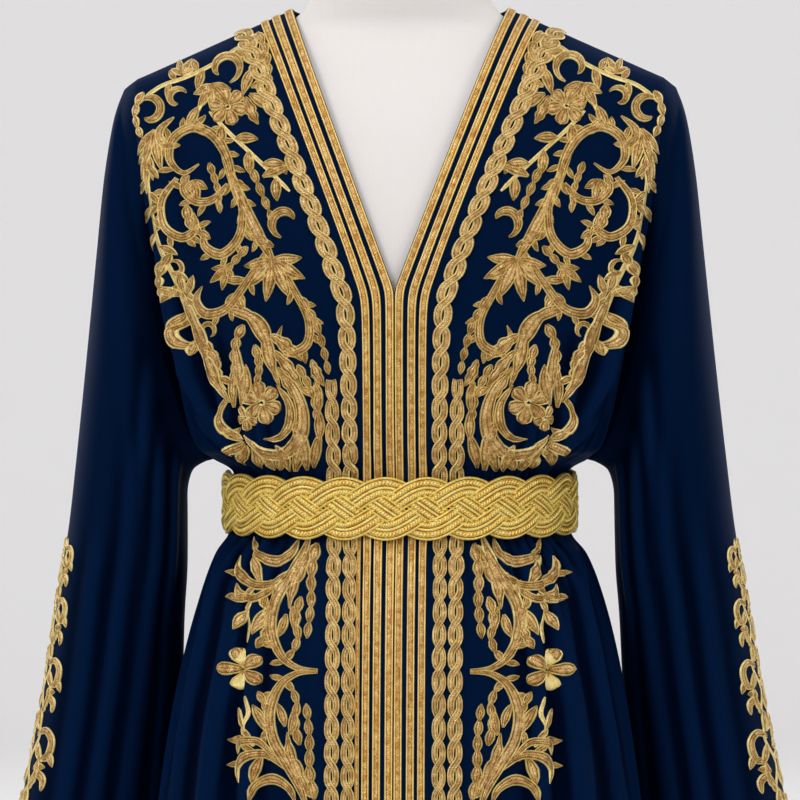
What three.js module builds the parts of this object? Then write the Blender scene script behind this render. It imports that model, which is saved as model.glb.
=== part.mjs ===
// A floor-length kaftan worn on a limbless dress form. Millimetres, +Z up, front towards -Y.
// The origin is the centre of the stand's underside, on the floor.
// The cloth is cut as two fronts, two backs and two sleeves. Every piece is a thin wall whose outer
// face is read off one table of body sections and one table of sleeve rings.
import * as THREE from "three";
import { mergeVertices } from "three/addons/utils/BufferGeometryUtils.js";

const cloth = { wall: 1.6, seamGap: 0.3, armholeGap: 0.5 };
const neck = { vBottom: 1227, halfWidth: 88, backRow: 24, backEase: 1.1 };
const trimLift = 0.45; // clear space between a panel and what is sewn on it
const braidWall = 1.5;
const chainWall = 1.2;

// Braids and chains, by their near and far edges measured from the front edge, and the row each ends at.
const braids = [
  { name: "edge", from: 0.5, to: 7.2 },
  { name: "middle", from: 10.6, to: 17.0 },
  { name: "outer", from: 19.6, to: 25.6 },
];
const chains = [
  { name: "inner", from: 31, to: 43, topRow: 28 },
  { name: "outer", from: 44.5, to: 56, topRow: 14 },
];
const sideBraid = { from: 27.2, to: 30.4, topRow: 9 };

const belt = { low: 1030, high: 1082, slack: 3.9, wall: 6, segments: 48 };
const stand = { baseRadius: 175, baseHeight: 16, poleRadius: 16, poleSides: 24 };
const torso = { sides: 32 };

// A table is a list of column names and its rows; named() gives each row its columns.
const named = (columns, rows) =>
  rows.map((row) => Object.fromEntries(columns.map((column, i) => [column, row[i]])));

// Body sections from hem to shoulder. frontZ, front and backZ, back are the height and depth at the
// centre; outX, outZ is the side seam, and above row 12 the armhole edge, at armFront and armBack.
const body = named(
  ["frontZ", "front", "backZ", "back", "outX", "outZ", "armFront", "armBack", "square"],
  [
    [40, 228, 40, 232, 300, 40, 0, 0, 2.1],
    [240, 205, 240, 208, 268, 240, 0, 0, 2.1],
    [480, 178, 480, 182, 236, 480, 0, 0, 2.1],
    [680, 160, 680, 165, 212, 680, 0, 0, 2.1],
    [815, 148, 815, 153, 197, 815, 0, 0, 2.1],
    [891, 139, 891, 146, 186, 891, 0, 0, 2.1],
    [944, 129, 944, 137, 174, 944, 0, 0, 2.1],
    [986, 118, 986, 125, 161, 986, 0, 0, 2.1],
    [1014, 108, 1014, 114, 149, 1014, 0, 0, 2.1],
    [1031, 101, 1031, 105, 136, 1031, 0, 0, 2.15],
    [1056, 99, 1056, 100, 131, 1056, 0, 0, 2.15],
    [1081, 101, 1081, 102, 133.5, 1081, 0, 0, 2.15],
    [1096, 107, 1096, 107, 151, 1092, 0, 0, 2.2],
    [1113, 112, 1113, 111, 165, 1103, 14, 14, 2.25],
    [1139, 116, 1139, 113, 174, 1131, 22, 26, 2.35],
    [1175, 118.5, 1175, 113, 182, 1171, 26, 34, 2.45],
    [1213, 118.5, 1213, 111, 189, 1211, 31, 40, 2.5],
    [1252, 115, 1252, 108, 196, 1248, 37, 45, 2.5],
    [1294, 107, 1294, 103, 203, 1286, 43, 50, 2.4],
    [1339, 94, 1339, 97, 208, 1321, 47, 52, 2.3],
    [1386, 77, 1384, 89, 212, 1353, 45, 49, 2.2],
    [1427, 58, 1422, 79, 214.5, 1380, 37, 41, 2.1],
    [1455, 41, 1448, 68, 215.5, 1392, 28, 32, 2],
    [1466, 33, 1458, 61, 215.5, 1396, 23, 26, 2],
    [1475.5, 25, 1467.5, 52, 215.5, 1399, 18, 20, 2],
    [1484.5, 16, 1478, 41, 215.3, 1401.2, 12, 14, 2],
    [1492.5, 7, 1488, 28, 215, 1403, 6, 8, 2],
    [1498.2, 0, 1495.8, 14, 214.7, 1404, 2, 3, 2],
    [1500.6, -4, 1500.6, 4, 214.5, 1404.3, 0, 0, 2],
  ],
);
const armholeRow = 12;
const crest = body.length - 1;

// Sleeve rings after the armhole: the outer and inner end of each ring, its reach to front and back,
// how far its middle is moved back, and how far its sides bow outwards.
const sleeveRings = named(
  ["outX", "outZ", "inX", "inZ", "front", "back", "shift", "bow"],
  [
    [224, 1396.5, 159, 1090, 46, 50, 0, 15],
    [232, 1374, 165, 1087, 50, 54, 0, 13],
    [240, 1328, 170, 1083, 55, 59, 1, 11],
    [247, 1268, 173, 1076, 60, 63, 3, 8],
    [254, 1207, 175, 1066, 62, 66, 6, 5],
    [261, 1146, 175.5, 1050, 61, 67, 10, 3],
    [268, 1088, 176, 1028, 59, 66, 15, 1],
    [275, 1034, 177, 998, 58, 65, 21, 0],
    [284, 985, 180, 962, 60, 66, 30, 0],
    [296, 915, 183, 905, 65, 70, 44, 0],
    [308, 855, 187, 850, 69, 74, 54, 0],
    [320, 801, 190, 798, 73, 78, 60, 0],
    [332, 745, 194, 745, 77, 82, 63, 0],
  ],
);

// Dress form sections: half width, front and back depth, squareness.
const formSections = named(
  ["z", "half", "front", "back", "square"],
  [
    [790, 160, 108, 118, 2.2],
    [830, 166, 113, 124, 2.2],
    [880, 166, 115, 124, 2.2],
    [935, 155, 108, 114, 2.2],
    [990, 132, 96, 99, 2.2],
    [1045, 115, 88, 86, 2.2],
    [1090, 118, 91, 88, 2.2],
    [1140, 130, 102, 93, 2.3],
    [1190, 142, 111, 97, 2.4],
    [1225, 148, 111.5, 98, 2.4],
    [1265, 152, 106, 96, 2.4],
    [1310, 157, 95, 92, 2.4],
    [1350, 166, 81, 85, 2.3],
    [1380, 172, 67, 76, 2.3],
    [1400, 162, 56, 68, 2.2],
    [1418, 136, 47, 60, 2.1],
    [1434, 112, 39, 53, 2.05],
    [1447, 94, 35, 48, 2],
    [1460, 79, 38, 46, 2],
    [1480, 68, 43, 45, 2],
    [1505, 60, 46, 46, 2],
    [1540, 56, 48, 47, 2],
  ],
);

const material = {
  cloth: new THREE.MeshStandardMaterial({ color: 0x04143c, roughness: 0.72, metalness: 0 }),
  braid: new THREE.MeshStandardMaterial({ color: 0xc59a45, roughness: 0.42, metalness: 0.6 }),
  chain: new THREE.MeshStandardMaterial({ color: 0xcbaa66, roughness: 0.38, metalness: 0.6 }),
  belt: new THREE.MeshStandardMaterial({ color: 0xd8ab3f, roughness: 0.4, metalness: 0.6 }),
  linen: new THREE.MeshStandardMaterial({ color: 0xe9e3df, roughness: 0.9, metalness: 0 }),
  wood: new THREE.MeshStandardMaterial({ color: 0x8a6238, roughness: 0.5, metalness: 0 }),
  steel: new THREE.MeshStandardMaterial({ color: 0xb9b9bc, roughness: 0.3, metalness: 0.9 }),
};

// ---- surfaces ----

// A point of the body at distance x from the centre plane, on section `row`. side is +1 or -1 in X,
// face is "front" or "back".
function bodyPoint(row, x, side, face) {
  const section = body[row];
  const across = Math.min(1, x / section.outX);
  const roundness = (1 - across ** section.square) ** (1 / section.square);
  const isFront = face === "front";
  const depth = isFront ? section.front : section.back;
  const edge = isFront ? section.armFront : section.armBack;
  const reach = Math.max(edge, cloth.seamGap / 2);
  const centreZ = isFront ? section.frontZ : section.backZ;
  const y = reach + (depth - reach) * roundness;
  const z = section.outZ + (centreZ - section.outZ) * (1 - across);
  return new THREE.Vector3(side * x, isFront ? -y : y, z);
}

// Distance of a panel's inner edge from the centre plane: straight down to the point of the V, then
// along the neckline to the shoulder.
function neckEdge(row, face) {
  const section = body[row];
  if (face === "back") {
    if (row <= neck.backRow) return cloth.seamGap / 2;
    const rise = (crest - row) / (crest - neck.backRow);
    return neck.halfWidth * Math.sqrt(1 - rise ** 2);
  }
  if (section.frontZ <= neck.vBottom) return cloth.seamGap / 2;
  const top = body[crest];
  const topZ = top.outZ + (top.frontZ - top.outZ) * (1 - neck.halfWidth / top.outX);
  const slope = neck.halfWidth / (topZ - neck.vBottom);
  const drop = (section.frontZ - section.outZ) / section.outX;
  return (slope * (section.frontZ - neck.vBottom)) / (1 + slope * drop);
}

// How far one millimetre of band width reaches across, measured level, where the edge slants.
function slant(row) {
  return body[row].frontZ <= neck.vBottom ? 1 : 1.07;
}

// Adds soft flutes that deepen from the hip to the hem and die out at the front edge.
function flute(point, row, side) {
  const depth = 13 * Math.max(0, (900 - body[row].frontZ) / 860);
  const angle = Math.atan2(point.x * side, -point.y);
  const wave = Math.cos(angle * 9) * Math.min(1, angle / 0.6);
  const outwards = new THREE.Vector3(point.x, point.y, 0).normalize();
  return point.addScaledVector(outwards, depth * wave);
}

// ---- solids from grids ----

// Outward normals of a grid of points; rows run along, columns across. turn flips them.
function gridNormals(grid, turn, wraps = false) {
  const last = grid[0].length - 1;
  return grid.map((line, i) =>
    line.map((_, j) => {
      const before = wraps ? (j + last) % (last + 1) : Math.max(0, j - 1);
      const after = wraps ? (j + 1) % (last + 1) : Math.min(last, j + 1);
      const across = grid[i][after].clone().sub(grid[i][before]);
      const along = grid[Math.min(grid.length - 1, i + 1)][j]
        .clone()
        .sub(grid[Math.max(0, i - 1)][j]);
      return across.cross(along).normalize().multiplyScalar(turn);
    }),
  );
}

// A closed solid between two grids of the same size. wraps joins the last column to the first.
function shell(outer, inner, wraps = false) {
  const rows = outer.length;
  const columns = outer[0].length;
  const position = [...outer.flat(), ...inner.flat()].flatMap((p) => [p.x, p.y, p.z]);
  const at = (layer, i, j) => layer * rows * columns + i * columns + (j % columns);
  const faces = [];
  const quad = (a, b, c, d) => faces.push(a, b, c, a, c, d);
  const spans = wraps ? columns : columns - 1;
  for (let i = 0; i < rows - 1; i++)
    for (let j = 0; j < spans; j++) {
      quad(at(0, i, j), at(0, i, j + 1), at(0, i + 1, j + 1), at(0, i + 1, j));
      quad(at(1, i, j), at(1, i + 1, j), at(1, i + 1, j + 1), at(1, i, j + 1));
    }
  for (let j = 0; j < spans; j++) {
    quad(at(1, 0, j), at(1, 0, j + 1), at(0, 0, j + 1), at(0, 0, j));
    const end = rows - 1;
    quad(at(0, end, j), at(0, end, j + 1), at(1, end, j + 1), at(1, end, j));
  }
  if (!wraps)
    for (let i = 0; i < rows - 1; i++) {
      const end = columns - 1;
      quad(at(0, i, 0), at(0, i + 1, 0), at(1, i + 1, 0), at(1, i, 0));
      quad(at(1, i, end), at(1, i + 1, end), at(0, i + 1, end), at(0, i, end));
    }
  const geometry = new THREE.BufferGeometry();
  geometry.setAttribute("position", new THREE.Float32BufferAttribute(position, 3));
  geometry.setIndex(faces);
  return mergeVertices(geometry, 1e-4);
}

// Turns a geometry's faces outwards if its signed volume is negative.
function facingOut(geometry) {
  const p = geometry.attributes.position;
  const index = geometry.index.array;
  const corner = (k) => new THREE.Vector3().fromBufferAttribute(p, index[k]);
  let volume = 0;
  for (let k = 0; k < index.length; k += 3)
    volume += corner(k).dot(corner(k + 1).cross(corner(k + 2)));
  if (volume < 0)
    for (let k = 0; k < index.length; k += 3) [index[k], index[k + 1]] = [index[k + 1], index[k]];
  return geometry;
}

function mesh(name, geometry, finish) {
  const made = new THREE.Mesh(facingOut(geometry), finish);
  made.name = name;
  made.geometry.computeVertexNormals();
  return made;
}

// A wall of even thickness inside a grid. flatten(normal, i, j) squares the wall's cut edges to a seam.
function wallOf(grid, turn, wall, flatten, wraps = false) {
  const normals = gridNormals(grid, turn, wraps);
  normals.forEach((line, i) => line.forEach((normal, j) => flatten(normal, i, j)));
  const inner = grid.map((line, i) =>
    line.map((point, j) => point.clone().addScaledVector(normals[i][j], -wall)),
  );
  return shell(grid, inner, wraps);
}

// ---- panels ----

const trimWidth = 31; // the flat first strip of a front, which carries the braids
const chainWidth = 58;
const sideColumns = 8;

// Distances from the centre plane of one panel's columns on a section.
function panelColumns(row, face) {
  const edge = neckEdge(row, face);
  const { outX, square } = body[row];
  const start = edge + chainWidth * slant(row);
  const angle = Math.asin((start / outX) ** (square / 2));
  const round = Array.from({ length: sideColumns + 1 }, (_, i) => {
    const turn = angle + (Math.PI / 2 - angle) * (i / sideColumns);
    return outX * Math.sin(turn) ** (2 / square);
  });
  return [edge, edge + trimWidth * slant(row), ...round];
}

function panelGrid(side, face) {
  return body.map((_, row) =>
    panelColumns(row, face).map((x) => flute(bodyPoint(row, x, side, face), row, side)),
  );
}

function panel(name, side, face) {
  const grid = panelGrid(side, face);
  const turn = side * (face === "front" ? 1 : -1);
  // The shoulder seam's gap is opened by drawing each side of it back a little.
  for (const point of grid[crest]) point.y += face === "front" ? -cloth.seamGap : cloth.seamGap;
  const flatten = (normal, row, column) => {
    const outerEdge = column === grid[row].length - 1;
    if (row === crest || (outerEdge && row <= armholeRow)) normal.y = 0;
    else if (outerEdge) normal.x = side * Math.max(0, side * normal.x);
    if (column === 0 && Math.abs(grid[row][0].x) < cloth.seamGap) normal.x = 0;
    normal.normalize();
  };
  return mesh(name, wallOf(grid, turn, cloth.wall, flatten), material.cloth);
}

// ---- sleeves ----

// The armhole's edge points, from the shoulder down the front and up the back.
function armhole(side) {
  const rows = Array.from({ length: crest - armholeRow + 1 }, (_, i) => crest - i);
  const edge = (row, face) => {
    const point = bodyPoint(row, body[row].outX, side, face);
    point.x += side * cloth.armholeGap;
    if (row === armholeRow || row === crest) point.y = 0;
    return point;
  };
  const front = rows.map((row) => edge(row, "front"));
  const back = rows.slice(1, -1).map((row) => edge(row, "back"));
  return [...front, ...back.reverse()];
}

function sleeveGrid(side) {
  const start = armhole(side);
  const high = body[crest].outZ;
  const low = body[armholeRow].outZ;
  const half = (start.length / 2) | 0;
  const turns = start.map((point, k) => {
    const turn = Math.acos(THREE.MathUtils.clamp((2 * (point.z - low)) / (high - low) - 1, -1, 1));
    return k <= half ? turn : 2 * Math.PI - turn;
  });
  const rings = sleeveRings.map((ring) =>
    turns.map((turn) => {
      const share = (1 + Math.cos(turn)) / 2;
      const reach = Math.sin(turn) > 0 ? ring.front : ring.back;
      return new THREE.Vector3(
        side * (ring.inX + (ring.outX - ring.inX) * share + ring.bow * Math.abs(Math.sin(turn))),
        ring.shift - reach * Math.sin(turn),
        ring.inZ + (ring.outZ - ring.inZ) * share,
      );
    }),
  );
  return [start, ...rings];
}

function sleeve(name, side) {
  const flatten = (normal, ring) => {
    if (ring === 0) normal.setX(0).normalize();
  };
  return mesh(name, wallOf(sleeveGrid(side), side, cloth.wall, flatten, true), material.cloth);
}

// ---- sewn trims ----

// Four corners of a band's cross-section: near and far edge, resting face and outer face.
function bandSection(near, far, along, side, turn, wall) {
  const normal = far.clone().sub(near).cross(along).normalize().multiplyScalar(turn);
  const low = trimLift;
  const high = trimLift + wall;
  return [near, far].flatMap((p, i) => {
    const lifts = i ? [high, low] : [low, high];
    return lifts.map((lift) => p.clone().addScaledVector(normal, lift));
  });
}

// A band on one front, from the hem to topRow, at distances from..to from the front edge.
function frontStations(from, to, side, topRow) {
  const rows = Array.from({ length: topRow + 1 }, (_, row) => row);
  const place = (row, offset) => {
    const x = neckEdge(row, "front") + offset * slant(row);
    return flute(bodyPoint(row, x, side, "front"), row, side);
  };
  return rows.map((row) => ({ near: place(row, from), far: place(row, to) }));
}

// A point of the back between sections, for the braids that pass behind the neck.
function backPoint(place, x, side) {
  const row = Math.min(crest - 1, Math.floor(place));
  const below = bodyPoint(row, x, side, "back");
  const point = below.lerp(bodyPoint(row + 1, x, side, "back"), place - row);
  point.y += neck.backEase;
  return point;
}

// The section, counted in rows, that lies a distance below the nape along the centre back.
function rowBelowNape(distance) {
  let row = neck.backRow;
  let left = distance;
  for (;;) {
    const step = Math.hypot(body[row].backZ - body[row - 1].backZ, body[row].back - body[row - 1].back);
    if (left <= step) return row - left / step;
    left -= step;
    row -= 1;
  }
}

function backStations(from, to, side, steps = 13) {
  const place = (offset, k) => {
    const turn = (Math.PI / 2) * (k / steps);
    const x = Math.max(cloth.seamGap / 2, (neck.halfWidth + offset * slant(crest)) * Math.cos(turn));
    const fall = crest - rowBelowNape(offset + 1.5);
    return backPoint(crest - fall * Math.sin(turn), x, side);
  };
  return Array.from({ length: steps }, (_, k) => ({
    near: place(from, k + 1),
    far: place(to, k + 1),
  }));
}

function band(name, stations, side, wall, finish) {
  const middles = stations.map(({ near, far }) => near.clone().lerp(far, 0.5));
  const sections = stations.map(({ near, far }, i) => {
    const along = middles[Math.min(i + 1, middles.length - 1)]
      .clone()
      .sub(middles[Math.max(i - 1, 0)]);
    return bandSection(near, far, along, side, side, wall);
  });
  return mesh(name, tube(sections), finish);
}

// A closed tube through sections that all have the same number of corners.
function tube(sections) {
  const sides = sections[0].length;
  const position = sections.flat().flatMap((p) => [p.x, p.y, p.z]);
  const faces = [];
  const at = (i, j) => i * sides + (j % sides);
  for (let i = 0; i < sections.length - 1; i++)
    for (let j = 0; j < sides; j++)
      faces.push(at(i, j), at(i, j + 1), at(i + 1, j + 1), at(i, j), at(i + 1, j + 1), at(i + 1, j));
  const end = sections.length - 1;
  for (let j = 1; j < sides - 1; j++) {
    faces.push(at(0, 0), at(0, j + 1), at(0, j));
    faces.push(at(end, 0), at(end, j), at(end, j + 1));
  }
  const geometry = new THREE.BufferGeometry();
  geometry.setAttribute("position", new THREE.Float32BufferAttribute(position, 3));
  geometry.setIndex(faces);
  return mergeVertices(geometry, 1e-4);
}

// ---- belt, form and stand ----

function oval(half, front, back, square, turn) {
  const power = 2 / square;
  const sine = Math.sin(turn);
  const cosine = Math.cos(turn);
  const depth = cosine > 0 ? front : back;
  return new THREE.Vector2(
    Math.sign(sine) * half * Math.abs(sine) ** power,
    -Math.sign(cosine) * depth * Math.abs(cosine) ** power,
  );
}

function beltRing() {
  const waist = body[9]; // the widest section under the belt
  const line = (out, z) =>
    Array.from({ length: belt.segments }, (_, i) => {
      const turn = (2 * Math.PI * i) / belt.segments;
      const p = oval(waist.outX + out, waist.front + out, waist.back + out, waist.square, turn);
      return new THREE.Vector3(p.x, p.y, z);
    });
  const gap = belt.slack;
  const outer = [line(gap + belt.wall, belt.low), line(gap + belt.wall, belt.high)];
  const inner = [line(gap, belt.low), line(gap, belt.high)];
  return mesh("belt", shell(outer, inner, true), material.belt);
}

function beltJoin() {
  const waist = body[9];
  const halfTurn = 0.11;
  const steps = 4;
  const margin = 3;
  const line = (out, z) =>
    Array.from({ length: steps + 1 }, (_, i) => {
      const turn = Math.PI - halfTurn + (2 * halfTurn * i) / steps;
      const p = oval(waist.outX + out, waist.front + out, waist.back + out, waist.square, turn);
      return new THREE.Vector3(p.x, p.y, z);
    });
  const near = belt.slack + belt.wall + 0.6;
  const far = near + 2;
  const [low, high] = [belt.low + margin, belt.high - margin];
  const geometry = shell([line(far, low), line(far, high)], [line(near, low), line(near, high)]);
  return mesh("belt_join", geometry, material.belt);
}

function formTorso() {
  const sections = formSections.map(({ z, half, front, back, square }) =>
    Array.from({ length: torso.sides }, (_, i) => {
      const p = oval(half, front, back, square, (2 * Math.PI * i) / torso.sides);
      return new THREE.Vector3(p.x, p.y, z);
    }),
  );
  return mesh("form_torso", tube(sections), material.linen);
}

function lathe(name, profile, sides, finish, z = 0) {
  const points = profile.map(([radius, height]) => new THREE.Vector2(radius, height));
  const geometry = new THREE.LatheGeometry(points, sides);
  geometry.deleteAttribute("uv");
  geometry.deleteAttribute("normal");
  geometry.rotateX(Math.PI / 2);
  geometry.translate(0, 0, z);
  return mesh(name, mergeVertices(geometry, 1e-3), finish);
}

function standPieces() {
  const top = formSections[formSections.length - 1];
  const bottom = formSections[0];
  const gap = cloth.seamGap;
  const r = stand.baseRadius;
  const h = stand.baseHeight;
  const cap = [[0, 0], [top.front - 3, 0], [top.front - 1, 4], [top.front - 6, 10], [16, 13], [0, 14]];
  const pole = [[0, h + gap], [stand.poleRadius, h + gap], [stand.poleRadius, bottom.z - gap], [0, bottom.z - gap]];
  const base = [[0, 0], [r - 2, 0], [r, 3], [r - 3, 8], [r * 0.55, h - 2], [42, h], [0, h]];
  return [
    lathe("form_cap", cap, 24, material.wood, top.z + gap),
    lathe("stand_pole", pole, stand.poleSides, material.steel),
    lathe("stand_base", base, 36, material.wood),
  ];
}

// ---- assembly ----

const kaftan = new THREE.Group();
for (const [word, side] of [["left", -1], ["right", 1]]) {
  kaftan.add(panel(`front_${word}`, side, "front"));
  kaftan.add(panel(`back_${word}`, side, "back"));
  kaftan.add(sleeve(`sleeve_${word}`, side));
  for (const { name, from, to } of braids) {
    const stations = [...frontStations(from, to, side, crest), ...backStations(from, to, side)];
    kaftan.add(band(`braid_${name}_${word}`, stations, side, braidWall, material.braid));
  }
  for (const { name, from, to, topRow } of chains) {
    const stations = frontStations(from, to, side, topRow);
    kaftan.add(band(`chain_${name}_${word}`, stations, side, chainWall, material.chain));
  }
}
const extra = frontStations(sideBraid.from, sideBraid.to, -1, sideBraid.topRow);
kaftan.add(band("braid_fourth_left", extra, -1, chainWall, material.braid));
kaftan.add(beltRing(), beltJoin(), formTorso(), ...standPieces());

export default kaftan;
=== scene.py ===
# A gold-embroidered kaftan worn on a linen dress form. Lengths in the tables are millimetres.
import math

import bpy
import numpy as np
from mathutils import Matrix
from mathutils import Vector


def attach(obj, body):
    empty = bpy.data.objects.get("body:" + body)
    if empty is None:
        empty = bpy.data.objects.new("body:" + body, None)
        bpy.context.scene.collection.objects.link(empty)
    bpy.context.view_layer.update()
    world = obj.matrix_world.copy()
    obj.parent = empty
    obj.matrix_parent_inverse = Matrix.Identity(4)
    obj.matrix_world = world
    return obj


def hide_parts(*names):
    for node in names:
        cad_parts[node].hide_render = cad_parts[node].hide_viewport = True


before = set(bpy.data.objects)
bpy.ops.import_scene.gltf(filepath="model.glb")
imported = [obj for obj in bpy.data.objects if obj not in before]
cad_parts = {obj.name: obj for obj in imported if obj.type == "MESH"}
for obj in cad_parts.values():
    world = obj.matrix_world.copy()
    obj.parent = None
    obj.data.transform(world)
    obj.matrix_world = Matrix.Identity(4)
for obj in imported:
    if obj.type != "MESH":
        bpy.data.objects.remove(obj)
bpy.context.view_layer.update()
millimetre = 0.001
bothSides = (("left", -1), ("right", 1))


def unit(vectors):
    return vectors / np.maximum(np.linalg.norm(vectors, axis=-1, keepdims=True), 1e-9)


def runAlong(points):
    # Distance of each point from the first one, measured along the line.
    return np.concatenate([[0], np.cumsum(np.linalg.norm(np.diff(points, axis=0), axis=1))])


def resample(places, run, rows):
    return np.stack([np.interp(places, run, column) for column in np.asarray(rows).T], axis=1)


def squareRing(turn, half, front, back, square):
    # A rounded box seen from above; turn starts at the front.
    sine, cosine = np.sin(turn), np.cos(turn)
    x = np.sign(sine) * half * np.abs(sine) ** (2 / square)
    y = -np.sign(cosine) * np.where(cosine > 0, front, back) * np.abs(cosine) ** (2 / square)
    return x, y


def readTable(table, place):
    # Smooth curve through the rows of a table; place counts rows from 0.
    place = np.clip(np.asarray(place, float), 0, len(table) - 1)
    low = np.minimum(place.astype(int), len(table) - 2)
    part = (place - low)[..., None]
    before = table[np.maximum(low - 1, 0)]
    start = table[low]
    end = table[low + 1]
    after = table[np.minimum(low + 2, len(table) - 1)]
    startSlope = (end - before) / 2
    endSlope = (after - start) / 2
    square = part ** 2
    cube = part ** 3
    return ((2 * cube - 3 * square + 1) * start + (cube - 2 * square + part) * startSlope
            + (3 * square - 2 * cube) * end + (cube - square) * endSlope)


def ease(value, low, high):
    # 0 below low, 1 above high, with a soft start and stop.
    share = np.clip((value - low) / (high - low), 0, 1)
    return share * share * (3 - 2 * share)


# Body sections from hem to shoulder: centre front height and depth, centre back height and depth,
# side seam or armhole edge, armhole edge to front and back, squareness.
bodySections = np.array([
    [40, 228, 40, 232, 300, 40, 0, 0, 2.1],
    [240, 205, 240, 208, 268, 240, 0, 0, 2.1],
    [480, 178, 480, 182, 236, 480, 0, 0, 2.1],
    [680, 160, 680, 165, 212, 680, 0, 0, 2.1],
    [815, 148, 815, 153, 197, 815, 0, 0, 2.1],
    [891, 139, 891, 146, 186, 891, 0, 0, 2.1],
    [944, 129, 944, 137, 174, 944, 0, 0, 2.1],
    [986, 118, 986, 125, 161, 986, 0, 0, 2.1],
    [1014, 108, 1014, 114, 149, 1014, 0, 0, 2.1],
    [1031, 101, 1031, 105, 136, 1031, 0, 0, 2.15],
    [1056, 99, 1056, 100, 131, 1056, 0, 0, 2.15],
    [1081, 101, 1081, 102, 133.5, 1081, 0, 0, 2.15],
    [1096, 107, 1096, 107, 151, 1092, 0, 0, 2.2],
    [1113, 112, 1113, 111, 165, 1103, 14, 14, 2.25],
    [1139, 116, 1139, 113, 174, 1131, 22, 26, 2.35],
    [1175, 118.5, 1175, 113, 182, 1171, 26, 34, 2.45],
    [1213, 118.5, 1213, 111, 189, 1211, 31, 40, 2.5],
    [1252, 115, 1252, 108, 196, 1248, 37, 45, 2.5],
    [1294, 107, 1294, 103, 203, 1286, 43, 50, 2.4],
    [1339, 94, 1339, 97, 208, 1321, 47, 52, 2.3],
    [1386, 77, 1384, 89, 212, 1353, 45, 49, 2.2],
    [1427, 58, 1422, 79, 214.5, 1380, 37, 41, 2.1],
    [1455, 41, 1448, 68, 215.5, 1392, 28, 32, 2],
    [1466, 33, 1458, 61, 215.5, 1396, 23, 26, 2],
    [1475.5, 25, 1467.5, 52, 215.5, 1399, 18, 20, 2],
    [1484.5, 16, 1478, 41, 215.3, 1401.2, 12, 14, 2],
    [1492.5, 7, 1488, 28, 215, 1403, 6, 8, 2],
    [1498.2, 0, 1495.8, 14, 214.7, 1404, 2, 3, 2],
    [1500.6, -4, 1500.6, 4, 214.5, 1404.3, 0, 0, 2],
])
armholeRow = 12
topRow = len(bodySections) - 1
backNeckRow = 24
vPoint = 1227  # height where the V of the neck begins
neckHalf = 88  # half the width of the neck at the shoulder
seamHalf = 0.15  # half the slit between the two front edges
clothSeam = 0.03  # half the gap in a seam that is sewn shut

# Sleeve rings after the armhole: outer and inner end, reach to front and back, shift back, bow.
sleeveRings = np.array([
    [224, 1396.5, 159, 1090, 46, 50, 0, 15],
    [232, 1374, 165, 1087, 50, 54, 0, 13],
    [240, 1328, 170, 1083, 55, 59, 1, 11],
    [247, 1268, 173, 1076, 60, 63, 3, 8],
    [254, 1207, 175, 1066, 62, 66, 6, 5],
    [261, 1146, 175.5, 1050, 61, 67, 10, 3],
    [268, 1088, 176, 1028, 59, 66, 15, 1],
    [275, 1034, 177, 998, 58, 65, 21, 0],
    [284, 985, 180, 962, 60, 66, 30, 0],
    [296, 915, 183, 905, 65, 70, 44, 0],
    [308, 855, 187, 850, 69, 74, 54, 0],
    [320, 801, 190, 798, 73, 78, 60, 0],
    [332, 745, 194, 745, 77, 82, 63, 0],
])

# Dress form: height, half width, front and back depth, squareness.
formSections = np.array([
    [790, 160, 108, 118, 2.2],
    [830, 166, 113, 124, 2.2],
    [880, 166, 115, 124, 2.2],
    [935, 155, 108, 114, 2.2],
    [990, 132, 96, 99, 2.2],
    [1045, 115, 88, 86, 2.2],
    [1090, 118, 91, 88, 2.2],
    [1140, 130, 102, 93, 2.3],
    [1190, 142, 111, 97, 2.4],
    [1225, 148, 111.5, 98, 2.4],
    [1265, 152, 106, 96, 2.4],
    [1310, 157, 95, 92, 2.4],
    [1350, 166, 81, 85, 2.3],
    [1380, 172, 67, 76, 2.3],
    [1400, 162, 56, 68, 2.2],
    [1418, 136, 47, 60, 2.1],
    [1434, 112, 39, 53, 2.05],
    [1447, 94, 35, 48, 2],
    [1460, 79, 38, 46, 2],
    [1480, 68, 43, 45, 2],
    [1505, 60, 46, 46, 2],
    [1540, 56, 48, 47, 2],
])

# Creases pressed into the cloth, each a ridge from one point to another on the right half:
# distance from the centre front line and height at both ends, width and height of the ridge.
bodiceCreases = np.array([
    # fromX, fromZ, toX, toZ, width, height
    [168, 1168, 124, 1090, 5.5, 4.4],
    [176, 1205, 138, 1094, 6, 4.8],
    [186, 1240, 150, 1104, 7, 4.2],
    [158, 1124, 112, 1086, 5, 3.6],
    [150, 1190, 131, 1098, 6, 2.8],
    [194, 1275, 168, 1140, 9, 3.4],
    [108, 1150, 106, 1086, 5, 1.3],
    [121, 1165, 115, 1086, 5, 1.8],
    [200, 1352, 178, 1255, 14, 2.0],
])
skirtCreases = np.array([
    [118, 1030, 131, 880, 5, 3.8],
    [127, 1030, 152, 700, 8, 5.0],
    [109, 1030, 126, 640, 8, 3.4],
    [134, 1026, 176, 820, 7, 4.6],
    [100, 1032, 108, 930, 5, 1.6],
    [138, 1024, 188, 760, 9, 5.0],
    [140, 960, 165, 560, 11, 4.2],
    [150, 900, 150, 300, 16, 4.5],
])


def pressCreases(creases, x, z):
    lift = np.zeros(np.broadcast(x, z).shape)
    for fromX, fromZ, toX, toZ, width, height in creases:
        alongX = toX - fromX
        alongZ = toZ - fromZ
        length = math.hypot(alongX, alongZ)
        share = ((x - fromX) * alongX + (z - fromZ) * alongZ) / length ** 2
        across = ((x - fromX) * alongZ - (z - fromZ) * alongX) / length / width
        fade = ease(share, -0.12, 0.18) * (1 - ease(share, 0.72, 1.15))
        lift = lift + height * fade * (1.25 - across ** 2) * np.exp(-across ** 2 * 0.9)
    return lift


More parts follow.
